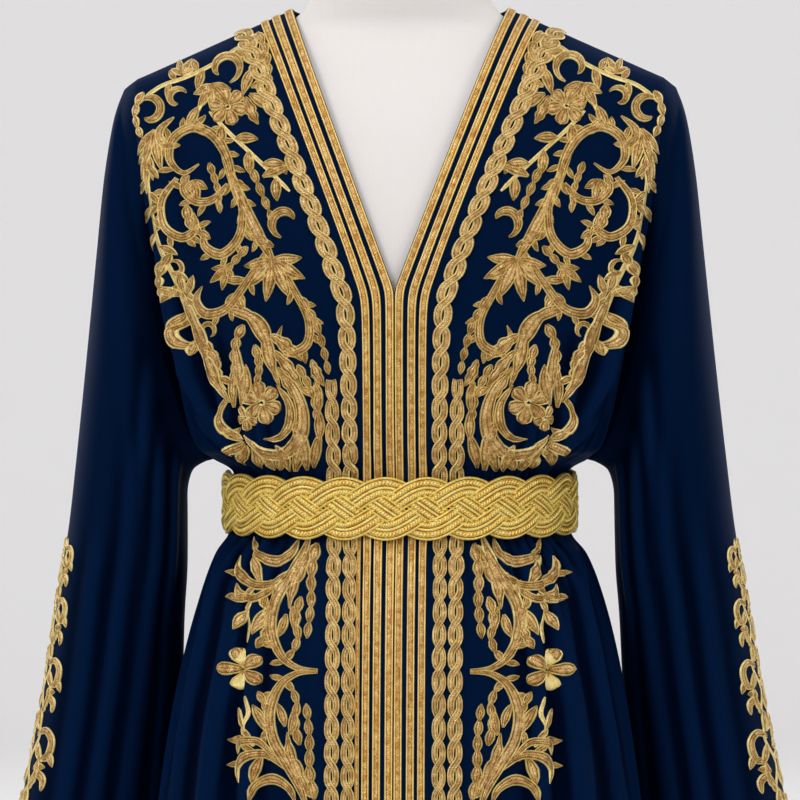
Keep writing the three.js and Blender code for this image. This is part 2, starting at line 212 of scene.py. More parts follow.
gathers = {"seed": 11, "count": 64, "height": 3.0, "still": 24}
flutes = {"depth": 13, "top": 900, "fall": 860, "count": 9}


def makeGathers(count, seed):
    # One row per small pleat at the belt: place round the waist, width, how far it runs up and down.
    chance = np.random.default_rng(seed)
    place = (np.arange(count) + chance.uniform(-0.35, 0.35, count)) / count * math.pi
    return np.stack([place, chance.uniform(0.012, 0.024, count), chance.uniform(28, 85, count),
                     chance.uniform(45, 190, count), chance.uniform(0.4, 1.25, count)], axis=1)


gatherRows = {side: makeGathers(gathers["count"], gathers["seed"] + side) for side in (-1, 1)}
beltMiddle = 1057


def bodySurface(row, x, side, face):
    # Points of the worn cloth, folds included. x is the distance from the centre plane.
    frontZ, front, backZ, back, outX, outZ, armFront, armBack, square = np.moveaxis(
        readTable(bodySections, row), -1, 0)
    way, centreZ, depth, arm = (-1, frontZ, front, armFront) if face == "front" else (1, backZ, back, armBack)
    across = np.clip(x / outX, 0, 1)
    roundness = np.maximum(1 - across ** square, 0) ** (1 / square)
    reach = np.maximum(arm, clothSeam)
    y = (reach + (depth - reach) * roundness) * way
    z = outZ + (centreZ - outZ) * (1 - across)
    angle = np.arctan2(np.asarray(x, float), -y)
    flute = flutes["depth"] * np.maximum(0, (flutes["top"] - centreZ) / flutes["fall"])
    flute = flute * np.cos(angle * flutes["count"] + 0.5 * np.sin(angle * 2) * side) * np.minimum(1, angle / 0.6)
    calm = ease(angle, 0.55, 1.0)  # the fronts hang flatter near their edges
    lift = flute * (0.55 + 0.45 * calm)
    away = np.abs(z - beltMiddle)
    for place, width, up, down, height in gatherRows[side]:
        fade = 1 - ease(away, gathers["still"], gathers["still"] + np.where(z > beltMiddle, up, down))
        pleat = np.exp(-((angle - place) / width) ** 2)
        lift = lift + gathers["height"] * height * (0.25 + 0.75 * calm) * fade * pleat
    seamFade = 1 - ease(across, 0.97, 1.0)
    if face == "front":
        lift = lift + pressCreases(bodiceCreases, x, z) * seamFade + pressCreases(skirtCreases, x, z) * seamFade
    else:
        lift = lift + pressCreases(skirtCreases, x + 6 * side, z) * seamFade
    size = np.maximum(np.hypot(x, y), 1)
    # The lift dies out at the shoulder seam, where front and back meet.
    lift = lift * (1 - ease(z, 1395, 1440))
    return np.stack([side * (x + x / size * lift), y + y / size * lift, z], axis=-1)


def slopeColumns(row):
    # Centre front height, width and side height of a row: the three that set its slope.
    section = readTable(bodySections, row)
    return section[..., 0], section[..., 4], section[..., 5]


topFront, topOut, topSide = slopeColumns(topRow)
neckSlope = neckHalf / (topSide + (topFront - topSide) * (1 - neckHalf / topOut) - vPoint)


def frontRow(x, z):
    # The row that passes through height z at distance x from the centre front.
    low = np.zeros(np.broadcast(x, z).shape)
    high = np.full(low.shape, float(topRow))
    for _ in range(22):
        middle = (low + high) / 2
        frontZ, outX, outZ = slopeColumns(middle)
        height = outZ + (frontZ - outZ) * (1 - np.clip(x / outX, 0, 1))
        low = np.where(height < z, middle, low)
        high = np.where(height < z, high, middle)
    return (low + high) / 2


def frontSurface(x, z, side):
    return bodySurface(frontRow(x, z), x, side, "front")


def neckEdge(row, face):
    # Distance of the panel's inner edge from the centre plane.
    if face == "back":
        rise = np.clip((topRow - row) / (topRow - backNeckRow), 0, 1)
        return np.maximum(clothSeam, neckHalf * np.sqrt(1 - rise ** 2))
    frontZ, outX, outZ = slopeColumns(row)
    return np.maximum(seamHalf, neckSlope * (frontZ - vPoint) / (1 + neckSlope * (frontZ - outZ) / outX))


def sleeveSurface(ring, turn, side):
    # ring counts from 0 at the first ring outside the armhole; turn runs from the outer end round the front.
    outX, outZ, inX, inZ, front, back, shift, bow = np.moveaxis(readTable(sleeveRings, ring), -1, 0)
    share = (1 + np.cos(turn)) / 2
    sine = np.sin(turn)
    reach = np.where(sine > 0, front, back)
    x = inX + (outX - inX) * share + bow * np.abs(sine)
    y = shift - reach * sine
    z = inZ + (outZ - inZ) * share
    lift = sleeveFolds(ring, turn, side)
    middle = (inX + outX) / 2
    size = np.maximum(np.hypot(x - middle, y - shift), 1)
    return np.stack([side * (x + (x - middle) / size * lift), y + (y - shift) / size * lift, z], axis=-1)


# Long soft folds of a sleeve: turn round it where the fold starts and ends, ring where it starts and ends.
sleeveCreases = np.array([
    # fromTurn, toTurn, fromRing, toRing, width, height
    [2.35, 2.05, 2.5, 12, 0.16, 2.6],
    [1.75, 1.62, 4.0, 12, 0.15, 1.8],
    [2.75, 2.50, 1.5, 8, 0.13, 3.0],
    [1.15, 1.25, 6.0, 12, 0.18, 1.6],
    [2.05, 1.95, 1.0, 5, 0.14, 1.8],
    [4.1, 4.3, 2.0, 12, 0.2, 3.0],
    [4.9, 4.8, 3.0, 12, 0.18, 2.2],
    [3.6, 3.7, 1.5, 7, 0.15, 3.0],
    [5.5, 5.4, 5.0, 12, 0.2, 1.8],
])


def sleeveFolds(ring, turn, side):
    lift = np.zeros(np.broadcast(ring, turn).shape)
    for fromTurn, toTurn, fromRing, toRing, width, height in sleeveCreases:
        share = (ring - fromRing) / (toRing - fromRing)
        middle = fromTurn + (toTurn - fromTurn) * np.clip(share, 0, 1) + 0.03 * side
        away = (turn - middle) / width
        fade = ease(share, 0, 0.3) * (1 - 0.5 * ease(share, 0.8, 1.05))
        lift = lift + height * fade * (1.2 - away ** 2) * np.exp(-away ** 2 * 0.9)
    return lift


def addObject(name, data):
    made = bpy.data.objects.new(name, data)
    bpy.context.scene.collection.objects.link(made)
    return made


def makeObject(name, vertices, faces, material, uv=None, tone=None, sharp=0.9):
    mesh = bpy.data.meshes.new(name)
    mesh.from_pydata((np.asarray(vertices) * millimetre).tolist(), [], faces)
    mesh.polygons.foreach_set("use_smooth", [True] * len(mesh.polygons))
    if sharp:
        mesh.set_sharp_from_angle(angle=sharp)
    if uv is not None:
        corners = np.zeros(len(mesh.loops), int)
        mesh.loops.foreach_get("vertex_index", corners)
        layer = mesh.uv_layers.new(name="cut")
        layer.data.foreach_set("uv", (np.asarray(uv) * millimetre)[corners].ravel())
    if tone is not None:
        attribute = mesh.attributes.new("tone", "FLOAT", "POINT")
        attribute.data.foreach_set("value", np.asarray(tone, np.float32))
    mesh.materials.append(material)
    return addObject(name, mesh)


def gridNormals(grid, wraps):
    if wraps:
        across = np.roll(grid, -1, axis=1) - np.roll(grid, 1, axis=1)
    else:
        across = np.gradient(grid, axis=1)
    return unit(np.cross(across, np.gradient(grid, axis=0)))


def gridFaces(rows, columns, wraps, start, flip):
    # Quads of a grid of points numbered row by row.
    i, j = np.meshgrid(np.arange(rows - 1), np.arange(columns if wraps else columns - 1), indexing="ij")
    after = (j + 1) % columns
    quads = np.stack([i * columns + j, i * columns + after, (i + 1) * columns + after, (i + 1) * columns + j], -1)
    quads = quads.reshape(-1, 4) + start
    return quads[:, ::-1] if flip else quads


# Settings of the painted shade that darkens the valleys of the cloth's folds and lightens their ridges.
foldShade = {"near": 5, "wide": 22, "depth": 2.3}


def smoothAcross(values, reach, wraps):
    # Running mean over a few columns each way.
    if wraps:
        padded = np.concatenate([values[:, -reach:], values, values[:, :reach]], axis=1)
    else:
        padded = np.pad(values, ((0, 0), (reach, reach), (0, 0)), mode="reflect", reflect_type="odd")
    total = np.cumsum(np.concatenate([np.zeros_like(padded[:, :1]), padded], axis=1), axis=1)
    window = 2 * reach + 1
    return (total[:, window:] - total[:, :-window]) / window


def paintedFoldShade(grid, normals, wraps):
    # Painted fold shade: 0 in the valleys of folds and 1 on their ridges; the cloth is coloured darker in the valleys
    # and lighter on the ridges, as shade and light would fall.
    rise = np.sum((grid - smoothAcross(grid, foldShade["near"], wraps)) * normals, axis=-1, keepdims=True)
    rise = rise - smoothAcross(rise, foldShade["wide"], wraps)
    return np.clip(0.5 + rise[..., 0] / foldShade["depth"], 0, 1)


def clothShell(name, grid, turn, thickness, material, wraps=False, uv=None):
    # A closed sheet of even thickness; turn is +1 where the grid's own normals already face out.
    rows, columns = grid.shape[:2]
    normals = gridNormals(grid, wraps) * turn
    inner = grid - normals * thickness
    count = rows * columns
    flip = turn < 0
    outerFaces = gridFaces(rows, columns, wraps, 0, flip)
    innerFaces = gridFaces(rows, columns, wraps, count, not flip)
    rims = [(np.arange(columns), False), (np.arange(columns) + (rows - 1) * columns, True)]
    if not wraps:
        rims += [(np.arange(rows) * columns, True), (np.arange(rows) * columns + columns - 1, False)]
    walls = []
    for edge, reverse in rims:
        following = np.roll(edge, -1) if wraps else edge[1:]
        leading = edge if wraps else edge[:-1]
        wall = np.stack([leading + count, following + count, following, leading], -1)
        walls.append(wall[:, ::-1] if reverse != flip else wall)
    faces = np.concatenate([outerFaces, innerFaces, *walls]).tolist()
    vertices = np.concatenate([grid.reshape(-1, 3), inner.reshape(-1, 3)])
    flat = None if uv is None else np.concatenate([uv.reshape(-1, 2)] * 2)
    # Painted fold shade, carried to the cloth's colour in the tone attribute.
    tone = paintedFoldShade(grid, normals, wraps).ravel()
    return makeObject(name, vertices, faces, material, uv=flat, tone=np.concatenate([tone, tone]))


def finishPiece(piece, slot, *nodes):
    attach(piece, "root")
    if nodes:
        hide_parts(*nodes)
    return piece


class Socket:
    # A node's output that takes part in sums; numbers alone are worked out before they get here.
    def __init__(self, recipe, output):
        self.recipe = recipe
        self.output = output

    def maths(self, operation, first, second=None):
        values = {0: first} if second is None else {0: first, 1: second}
        return self.recipe.node("ShaderNodeMath", {"operation": operation}, values)

    __add__ = lambda self, other: self.maths("ADD", self, other)
    __radd__ = lambda self, other: self.maths("ADD", other, self)
    __sub__ = lambda self, other: self.maths("SUBTRACT", self, other)
    __rsub__ = lambda self, other: self.maths("SUBTRACT", other, self)
    __mul__ = lambda self, other: self.maths("MULTIPLY", self, other)
    __rmul__ = lambda self, other: self.maths("MULTIPLY", other, self)

    def sine(self):
        return self.maths("SINE", self)

    def clamp(self):
        return self.recipe.node("ShaderNodeClamp", {}, {"Value": self})


class Finish:
    # One material: its node tree, a Principled shader and the way to add nodes to it.
    def __init__(self, name):
        self.material = bpy.data.materials.new(name)
        self.material.use_nodes = True
        self.tree = self.material.node_tree
        self.tree.nodes.clear()

    def node(self, kind, settings=None, values=None, output=0):
        made = self.tree.nodes.new(kind)
        for key, setting in (settings or {}).items():
            if key == "stops":
                self.setStops(made.color_ramp, setting)
            else:
                setattr(made, key, setting)
        for key, value in (values or {}).items():
            self.feed(made.inputs[key], value)
        return Socket(self, made.outputs[output]) if made.outputs else made

    def feed(self, socket, value):
        if isinstance(value, Socket):
            self.tree.links.new(value.output, socket)
        elif isinstance(value, (tuple, list)) and len(value) == 3 and socket.type == "RGBA":
            socket.default_value = (*value, 1)
        else:
            socket.default_value = value

    def setStops(self, ramp, stops):
        while len(ramp.elements) < len(stops):
            ramp.elements.new(0.5)
        for element, (place, level) in zip(ramp.elements, stops):
            element.position = place
            element.color = (*level, 1) if isinstance(level, tuple) else (level, level, level, 1)

    def mix(self, factor, first, second):
        values = {"Factor": factor, 6: first, 7: second}  # 6 and 7 are a Mix node's colours
        return self.node("ShaderNodeMix", {"data_type": "RGBA"}, values, output=2)

    def place(self, output="Object"):
        return self.node("ShaderNodeTexCoord", {}, {}, output=output)

    def parts(self, vector):
        split = self.node("ShaderNodeSeparateXYZ", {}, {0: vector})
        return [Socket(self, out) for out in split.output.node.outputs]

    def noise(self, vector, scale, detail=3.0, roughness=0.5):
        return self.node("ShaderNodeTexNoise", {}, {
            "Vector": vector, "Scale": scale, "Detail": detail, "Roughness": roughness})

    def stretched(self, vector, scale):
        return self.node("ShaderNodeMapping", {}, {"Vector": vector, "Scale": scale})

    def ramp(self, value, stops, output=0):
        return self.node("ShaderNodeValToRGB", {"stops": stops}, {"Fac": value}, output)

    def tone(self):
        return self.node("ShaderNodeAttribute", {"attribute_name": "tone"}, {}, output="Fac")

    def bump(self, height, distance, strength):
        return self.node("ShaderNodeBump", {}, {"Height": height, "Distance": distance, "Strength": strength})

    def shade(self, values):
        shader = self.node("ShaderNodeBsdfPrincipled", {}, values)
        self.node("ShaderNodeOutputMaterial", {}, {"Surface": shader})
        return self.material


# The valley colour is painted shade for the fold valleys; deep and lift are the crepe's own darker and lighter tones.
crepe = {"valleyShade": (0.0002, 0.0022, 0.010), "deep": (0.0005, 0.0046, 0.019), "lift": (0.0012, 0.0095, 0.039),
         "roughness": 0.62, "sheen": 0.09, "tint": (0.01, 0.14, 0.6), "grain": 1400, "grainDepth": 0.00008}


def crepeCloth():
    finish = Finish("navy_crepe")
    place = finish.place()
    grain = finish.noise(place, crepe["grain"], 2.0, 0.6)
    slub = finish.noise(finish.stretched(place, (1, 1, 0.12)), 320, 2.0)
    cloud = finish.noise(place, 7, 3.0)
    foldShading = finish.tone()
    # The crepe's own cloudy tone, with painted light on the fold ridges; the valley colour then paints shade into the
    # fold valleys.
    face = finish.mix((cloud * 0.4 + grain * 0.3 + (foldShading - 0.3)).clamp(), crepe["deep"], crepe["lift"])
    return finish.shade({
        "Base Color": finish.mix((foldShading * 2).clamp(), crepe["valleyShade"], face),
        "Roughness": 0.08 * grain + (crepe["roughness"] - 0.04),
        "Sheen Weight": crepe["sheen"], "Sheen Roughness": 0.4, "Sheen Tint": (*crepe["tint"], 1),
        "Specular IOR Level": 0.03, "Specular Tint": (*crepe["tint"], 1),
        "Normal": finish.bump(grain * 0.7 + slub * 0.3, crepe["grainDepth"], 0.6),
    })


linen = {"warm": (0.83, 0.79, 0.765), "cool": (0.77, 0.735, 0.715), "threads": 2990, "relief": 0.00012}


def linenCover():
    finish = Finish("natural_linen")
    place = finish.place()
    x, _, z = finish.parts(place)
    warp = (x * linen["threads"] + finish.noise(place, 90) * 2.4).sine() * 0.5 + 0.5
    weft = (z * linen["threads"] + finish.noise(place, 70) * 2.8).sine() * 0.5 + 0.5
    slub = finish.noise(finish.stretched(place, (1, 1, 0.05)), 260, 2.0)
    weave = warp * 0.35 + weft * 0.35 + slub * 0.5
    return finish.shade({
        "Base Color": finish.mix(weave * 0.7, linen["cool"], linen["warm"]),
        "Roughness": 0.86, "Sheen Weight": 0.2, "Specular IOR Level": 0.25,
        "Normal": finish.bump(weave, linen["relief"], 0.5),
    })


# The first colour is the painted shade of grooves and of the gaps between threads.
goldThreads = {"grooveShade": (0.075, 0.024, 0.003), "metal": 0.5, "gloss": 0.28, "coat": 0.25,
               "coatTint": (1, 0.85, 0.5, 1), "relief": 0.00035}


def goldThread(name, colours, spacing, slant, glintShare):
    # Metal thread laid side by side. tone is 1 on raised cords, 0 in the stitched ground, below 0 in grooves, where
    # painted shade darkens the colour.
    finish = Finish(name)
    place = finish.place()
    u, v, _ = finish.parts(finish.place("UV"))
    mark = finish.tone()
    tone = mark.clamp()
    grooveShade = (0 - mark).clamp()
    wobble = finish.noise(place, 300, 2.0) * 1.6
    thread = ((u + v * slant) * (2 * math.pi / spacing) + wobble).sine() * 0.5 + 0.5
    grit = finish.noise(place, 1150, 2.0, 0.7)
    # Painted glints from fine noise and painted sheen patches from coarser noise lighten the thread's colour.
    glint = finish.ramp(grit, [(0.46, 0.0), (0.6, 1.0)])
    paintedSheen = finish.ramp(finish.noise(place, 190, 2.0), [(0.38, 0.0), (0.62, 1.0)])
    low, middle, high, glintColour = colours
    ground = finish.mix(paintedSheen * 0.55 + glint * glintShare, low, middle)
    body = finish.mix(tone * (0.72 + paintedSheen * 0.14 + glint * 0.14), ground, high)
    bright = finish.mix(glint * paintedSheen * (0.5 + glintShare * 0.4), body, glintColour)
    # Painted shade: darker in the grooves and between the laid threads, less so on raised cords.
    shadow = (grooveShade * 0.85 + (1 - thread) * (1 - tone * 0.7) * 0.34).clamp()
    return finish.shade({
        "Base Color": finish.mix(shadow, bright, goldThreads["grooveShade"]),
        "Metallic": goldThreads["metal"] + tone * 0.08,
        "Roughness": goldThreads["gloss"] + 0.22 * (1 - glint),
        "Specular IOR Level": 0.8, "Coat Weight": goldThreads["coat"], "Coat Roughness": 0.2,
        "Coat Tint": goldThreads["coatTint"],
        "Normal": finish.bump(thread * 0.7 + grit * 0.8, goldThreads["relief"], 0.9),
    })


golds = {
    # deepest ground, ground, raised cord, painted glint; painted sheen patches and glints lift the ground from the
    # first towards the second
    "braid": ((0.40, 0.15, 0.01), (0.98, 0.54, 0.07), (1.0, 0.74, 0.24), (1.0, 0.9, 0.46)),
    "chain": ((0.26, 0.11, 0.012), (0.86, 0.46, 0.07), (1.0, 0.83, 0.34), (1.0, 0.96, 0.6)),
    "belt": ((0.66, 0.29, 0.014), (1.0, 0.70, 0.10), (1.0, 0.86, 0.22), (1.0, 0.96, 0.54)),
    "stitch": ((0.24, 0.09, 0.008), (0.94, 0.49, 0.055), (1.0, 0.86, 0.35), (1.0, 0.97, 0.62)),
}


def goldGrain(name, colours):
    finish = Finish(name)
    place = finish.place()
    _, middle, high, glintColour = colours
    grit = finish.noise(place, 700, 2.0, 0.6)
    # The gold's own tone from noise, with painted glints where the noise is highest.
    warm = finish.ramp(grit, [(0.35, middle), (0.55, high), (0.68, glintColour)], "Color")
    return finish.shade({"Base Color": warm, "Metallic": 0.55, "Roughness": 0.22 + grit * 0.2,
                         "Specular IOR Level": 0.7})


wood = {"dark": (0.16, 0.075, 0.028), "light": (0.36, 0.19, 0.08), "rings": 16}
steel = {"dark": (0.42, 0.42, 0.43), "light": (0.6, 0.6, 0.61), "brush": 900}


def plainWood():
    finish = Finish("waxed_beech")
    place = finish.place()
    stretched = finish.stretched(place, (1, 9, 1))
    ring = finish.noise(stretched, wood["rings"], 6.0, 0.6)
    fine = finish.noise(stretched, 160, 3.0)
    return finish.shade({
        "Base Color": finish.mix(ring * 0.8 + fine * 0.2, wood["dark"], wood["light"]),
        "Roughness": 0.32 + fine * 0.16, "Coat Weight": 0.15,
        "Normal": finish.bump(fine, 0.0001, 0.3),
    })


def brushedSteel():
    finish = Finish("brushed_steel")
    brush = finish.noise(finish.stretched(finish.place(), (1, 1, 0.03)), steel["brush"], 3.0)
    return finish.shade({
        "Base Color": finish.mix(brush, steel["dark"], steel["light"]), "Metallic": 1.0,
        "Roughness": 0.24 + brush * 0.2, "Normal": finish.bump(brush, 0.00005, 0.4),
    })


clothFinish = crepeCloth()
linenFinish = linenCover()
braidFinish = goldThread("gold_braid", golds["braid"], 0.0021, 0.9, 0.75)
chainFinish = goldThread("gold_chain", golds["chain"], 0.0016, 0.5, 0.35)
beltFinish = goldThread("gold_belt_cord", golds["belt"], 0.0026, 0.8, 0.45)
stitchFinish = goldThread("gold_stitching", golds["stitch"], 0.0012, 0.35, 0.55)
grainFinish = goldGrain("gold_twist", golds["belt"])
woodFinish = plainWood()
steelFinish = brushedSteel()
print("materials made")


# Rows lie closer together round the waist and the shoulder: from, to, how many.
panelGrid = {"columns": 84, "thickness": 1.3,
             "zones": [(0, 5, 26), (5, 8, 22), (8, 13, 34), (13, 20, 40), (20, topRow, 22)]}


def panelRows():
    pieces = [np.linspace(low, high, count, endpoint=False) for low, high, count in panelGrid["zones"]]
    return np.append(np.concatenate(pieces), topRow)


def makePanel(name, side, face):
    rows = panelRows()[:, None]
    section = readTable(bodySections, rows)
    outX, square = section[..., 4], section[..., 8]
    start = neckEdge(rows, face)
    first = np.arcsin(np.clip((start / outX) ** (square / 2), 0, 1))
    share = np.linspace(0, 1, panelGrid["columns"])[None, :]
    angle = first + (math.pi / 2 - first) * share
    x = outX * np.sin(angle) ** (2 / square)
    x[:, -1] = outX[:, 0]
    grid = bodySurface(rows + 0 * x, x, side, face)
    turn = side * (1 if face == "front" else -1)
    across = np.cumsum(np.linalg.norm(np.diff(grid, axis=1, prepend=grid[:, :1]), axis=-1), axis=1)
    uv = np.stack([across, grid[..., 2]], axis=-1)
    panel = clothShell(name + "_cloth", grid, turn, panelGrid["thickness"], clothFinish, uv=uv)
    return finishPiece(panel, "cloth", name)


for word, side in bothSides:
    for face in ("front", "back"):
        makePanel(f"{face}_{word}", side, face)
print("fronts and backs made")


sleeveGrid = {"around": 110, "along": 70, "thickness": 1.3, "leadRows": 9, "bulge": 1.2, "armGap": 0.4}


def makeSleeve(name, side):
    turns = np.linspace(0, 2 * math.pi, sleeveGrid["around"], endpoint=False)[None, :]
    rings = np.linspace(0, len(sleeveRings) - 1, sleeveGrid["along"])[:, None]
    grid = sleeveSurface(rings, turns, side)
    # The first few rows run from the armhole edge out to the first ring.
    edgeHeights = bodySections[armholeRow:, 5]
    height = edgeHeights[0] + (edgeHeights[-1] - edgeHeights[0]) * (1 + np.cos(turns[0])) / 2
    edgeRows = np.interp(height, edgeHeights, np.arange(armholeRow, topRow + 1))
    section = readTable(bodySections, edgeRows)
    isFront = np.sin(turns[0]) >= 0
    reach = np.where(isFront, section[:, 6], section[:, 7])
    x = side * (section[:, 4] + sleeveGrid["armGap"])
    edge = np.stack([x, np.where(isFront, -reach, reach), section[:, 5]], axis=-1)
    steps = np.linspace(0, 1, sleeveGrid["leadRows"], endpoint=False)[:, None, None]
    bulge = np.sin(steps * math.pi) * sleeveGrid["bulge"]
    lead = edge + (grid[0] - edge) * steps + np.array([0, 1, 0]) * np.where(isFront, -1, 1)[:, None] * bulge
    grid = np.concatenate([lead, grid])
    around = np.cumsum(np.linalg.norm(np.diff(grid, axis=1, append=grid[:, :1]), axis=-1), axis=1)
    along = np.cumsum(np.linalg.norm(np.diff(grid, axis=0, prepend=grid[:1]), axis=-1), axis=0)
    uv = np.stack([around, along], axis=-1)
    sleeve = clothShell(name + "_cloth", grid, side, sleeveGrid["thickness"], clothFinish, wraps=True, uv=uv)
    return finishPiece(sleeve, "cloth", name)


for word, side in bothSides:
    makeSleeve(f"sleeve_{word}", side)
print("sleeves made")


formShape = {"around": 96, "along": 110, "seamDepth": 0.9, "seamWidth": 1.3}


def makeForm():
    turns = np.linspace(0, 2 * math.pi, formShape["around"], endpoint=False)[None, :]
    places = np.linspace(0, len(formSections) - 1, formShape["along"])[:, None]
    z, *sizes = np.moveaxis(readTable(formSections, places), -1, 0)
    x, y = squareRing(turns, *sizes)
    grid = np.stack([x, y, z + 0 * x], axis=-1)
    seam = np.exp(-(grid[..., 0] / formShape["seamWidth"]) ** 2) * formShape["seamDepth"]
    grid[..., 1] = grid[..., 1] + np.where(grid[..., 1] < 0, seam, -seam)
    rows, columns = grid.shape[:2]
    faces = gridFaces(rows, columns, True, 0, False).tolist()
    count = rows * columns
    ends = [grid[0].mean(axis=0), grid[-1].mean(axis=0)]
    for j in range(columns):
        faces.append([count, (j + 1) % columns, j])
        faces.append([count + 1, (rows - 1) * columns + j, (rows - 1) * columns + (j + 1) % columns])
    vertices = np.concatenate([grid.reshape(-1, 3), np.array(ends)])
    return finishPiece(makeObject("form_cover", vertices, faces, linenFinish), "linen", "form_torso")


makeForm()
for node, finish in (("form_cap", woodFinish), ("stand_base", woodFinish), ("stand_pole", steelFinish),
                     ("belt_join", grainFinish)):
    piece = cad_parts[node]
    piece.data.materials.clear()
    piece.data.materials.append(finish)
print("dress form made")


def planeNormals(surface, p, q, side, step=0.6):
    across = surface(p + step, q) - surface(p - step, q)
    along = surface(p, q + step) - surface(p, q - step)
    return unit(np.cross(across, along) * side)


def smoothLine(points, spacing):
    # Even points along a soft curve through a few given ones.
    points = np.asarray(points, float)
    if len(points) > 2:
        places = np.linspace(0, len(points) - 1, 24 * (len(points) - 1) + 1)
        dense = readTable(points, places)
    else:
        dense = points[0] + (points[-1] - points[0]) * np.linspace(0, 1, 12)[:, None]
    run = runAlong(dense)
    even = np.linspace(0, run[-1], max(5, int(round(run[-1] / spacing)) + 1))
    return resample(even, run, dense), even


def mirrored(profile):
    # The whole section from its left half, which ends on the middle.
    return profile + [(-place, height, tone) for place, height, tone in profile[-2::-1]]


def stripFaces(rows, columns, start, flip):
    # A closed rod: quads round it and a cap at each end.
    caps = [list(range(start, start + columns)), list(range(start + (rows - 1) * columns, start + rows * columns))]
    caps[1 if flip else 0].reverse()
    return gridFaces(rows, columns, True, start, flip).tolist() + caps


def lineFrame(line):
    # Direction along a flat line and sideways from it.
    along = unit(np.gradient(line, axis=0))
    return along, np.stack([-along[:, 1], along[:, 0]], axis=1)


class RibbonSet:
    # Gathers many ribbons that lie on one surface, and makes them one mesh.
    def __init__(self, surface, side):
        self.surface, self.side, self.count = surface, side, 0
        self.flat, self.lifts, self.faces, self.uvs, self.tones = [], [], [], [], []

    def add(self, line, run, halfWidth, profile, lift=0.0, rim=None):
        # profile rows: place across from -1 to 1, height, tone, where a tone below 0 is painted groove shade. With a
        # rim, places past 0.6 keep that width.
        _, sideways = lineFrame(line)
        halfWidth = np.broadcast_to(halfWidth, (len(line),))
        lift = np.broadcast_to(lift, (len(line),))
        places, heights, tones = np.array(profile, float).T
        narrow = np.clip(halfWidth / 1.6, 0.35, 1.0)
        across = halfWidth[:, None] * places
        if rim:
            share = np.minimum(rim / halfWidth, 0.55)[:, None]
            size = np.abs(places)
            outer = 1 - (1 - size) / 0.4 * share
            across = halfWidth[:, None] * np.sign(places) * np.where(size > 0.6, outer, size / 0.6 * (1 - share))
            narrow = np.clip(halfWidth / 2.6, 0.35, 1.25)
        flat = line[:, None, :] + sideways[:, None, :] * across[..., None]
        self.flat.append(flat.reshape(-1, 2))
        self.lifts.append((heights * narrow[:, None] + lift[:, None]).ravel())
        self.tones.append(np.tile(tones, len(line)))
        self.uvs.append(np.stack([np.repeat(run, len(places)), across.ravel()], axis=1))
        self.faces += stripFaces(len(line), len(places), self.count, self.side < 0)
        self.count += len(line) * len(places)

    def build(self, name, material):
        flat = np.concatenate(self.flat)
        lifts = np.concatenate(self.lifts)
        p, q = flat[:, 0], flat[:, 1]
        points = self.surface(p, q) + planeNormals(self.surface, p, q, self.side) * lifts[:, None]
        return makeObject(name, points, self.faces, material, np.concatenate(self.uvs), np.concatenate(self.tones))


def edgeFor(row, offset):
    # The front edge as a sewn band follows it: a soft bend where the V begins.
    frontZ, outX, outZ = slopeColumns(row)
    above = (frontZ - vPoint) / (1 + neckSlope * (frontZ - outZ) / outX)
    soft = 3 + 0.55 * np.abs(offset)
    bend = neckSlope * (above + np.sqrt(above ** 2 + soft ** 2)) / 2
    slant = 1 + 0.07 * ease(above, -12, 18)
    return np.maximum(seamHalf, bend - neckSlope * soft * 0.1 + offset * slant)


def makeEdgePath(side, offset, endRow=topRow):
    # Arc length along a line that keeps one distance from the front edge.
    rows = np.linspace(0, endRow, 1400)
    points = bodySurface(rows, edgeFor(rows, offset), side, "front")
    return rows, runAlong(points)


def edgeSurface(side, path):
    rows, run = path

    def surface(offset, along):
        row = np.interp(along, run, rows)
        return bodySurface(row, edgeFor(row, offset), side, "front")
    return surface


def backNeckRun(distance):
    # Row at a distance below the nape, measured down the centre back.
    rows = np.linspace(backNeckRow, armholeRow, 300)
    return np.interp(distance, runAlong(readTable(bodySections, rows)[:, 2:4]), rows)


braidShape = {"step": 4.0, "backSteps": 40, "lift": 0.25,
              "profile": mirrored([(-1, 0.0, 1), (-0.98, 0.75, 1), (-0.88, 1.2, 1), (-0.74, 1.25, 1), (-0.62, 0.95, 1),
                                   (-0.54, 0.62, -0.7), (-0.28, 0.95, 0), (0, 1.05, 0)])}

braids = [
    # name, near edge, far edge, topmost row
    ("braid_edge", 0.6, 7.0, topRow),
    ("braid_middle", 10.4, 16.8, topRow),
    ("braid_outer", 19.4, 25.4, topRow),
]


def makeBraid(name, side, near, far, endRow):
    count = int(1440 * endRow / topRow / braidShape["step"])
    rows, run = makeEdgePath(side, (near + far) / 2, endRow)
    stations = np.interp(np.linspace(0, run[-1], count), run, rows)
    places, heights, tones = np.array(braidShape["profile"]).T
    offsets = (near + far) / 2 + (far - near) / 2 * places
    grid = bodySurface(stations[:, None] + 0 * offsets, edgeFor(stations[:, None], offsets), side, "front")
    if endRow == topRow:
        turns = np.linspace(0, math.pi / 2, braidShape["backSteps"] + 1)[1:, None]
        x = np.maximum(seamHalf + 0.1, edgeFor(np.float64(topRow), offsets) * np.cos(turns))
        fall = (topRow - backNeckRun(offsets + 1.5)) * np.sin(turns)
        grid = np.concatenate([grid, bodySurface(topRow - fall, x, side, "back")])
    solid = grid + gridNormals(grid, False) * side * (heights + braidShape["lift"])[:, None]
    rowCount, columns = solid.shape[:2]
    uv = np.stack([np.repeat(runAlong(grid[:, 4]), columns), np.tile(offsets - (near + far) / 2, rowCount)], axis=1)
    faces = stripFaces(rowCount, columns, 0, side < 0)
    braid = makeObject(f"{name}_woven", solid.reshape(-1, 3), faces, braidFinish, uv, np.tile(tones, rowCount), 1.2)
    return finishPiece(braid, "woven_braid", name)


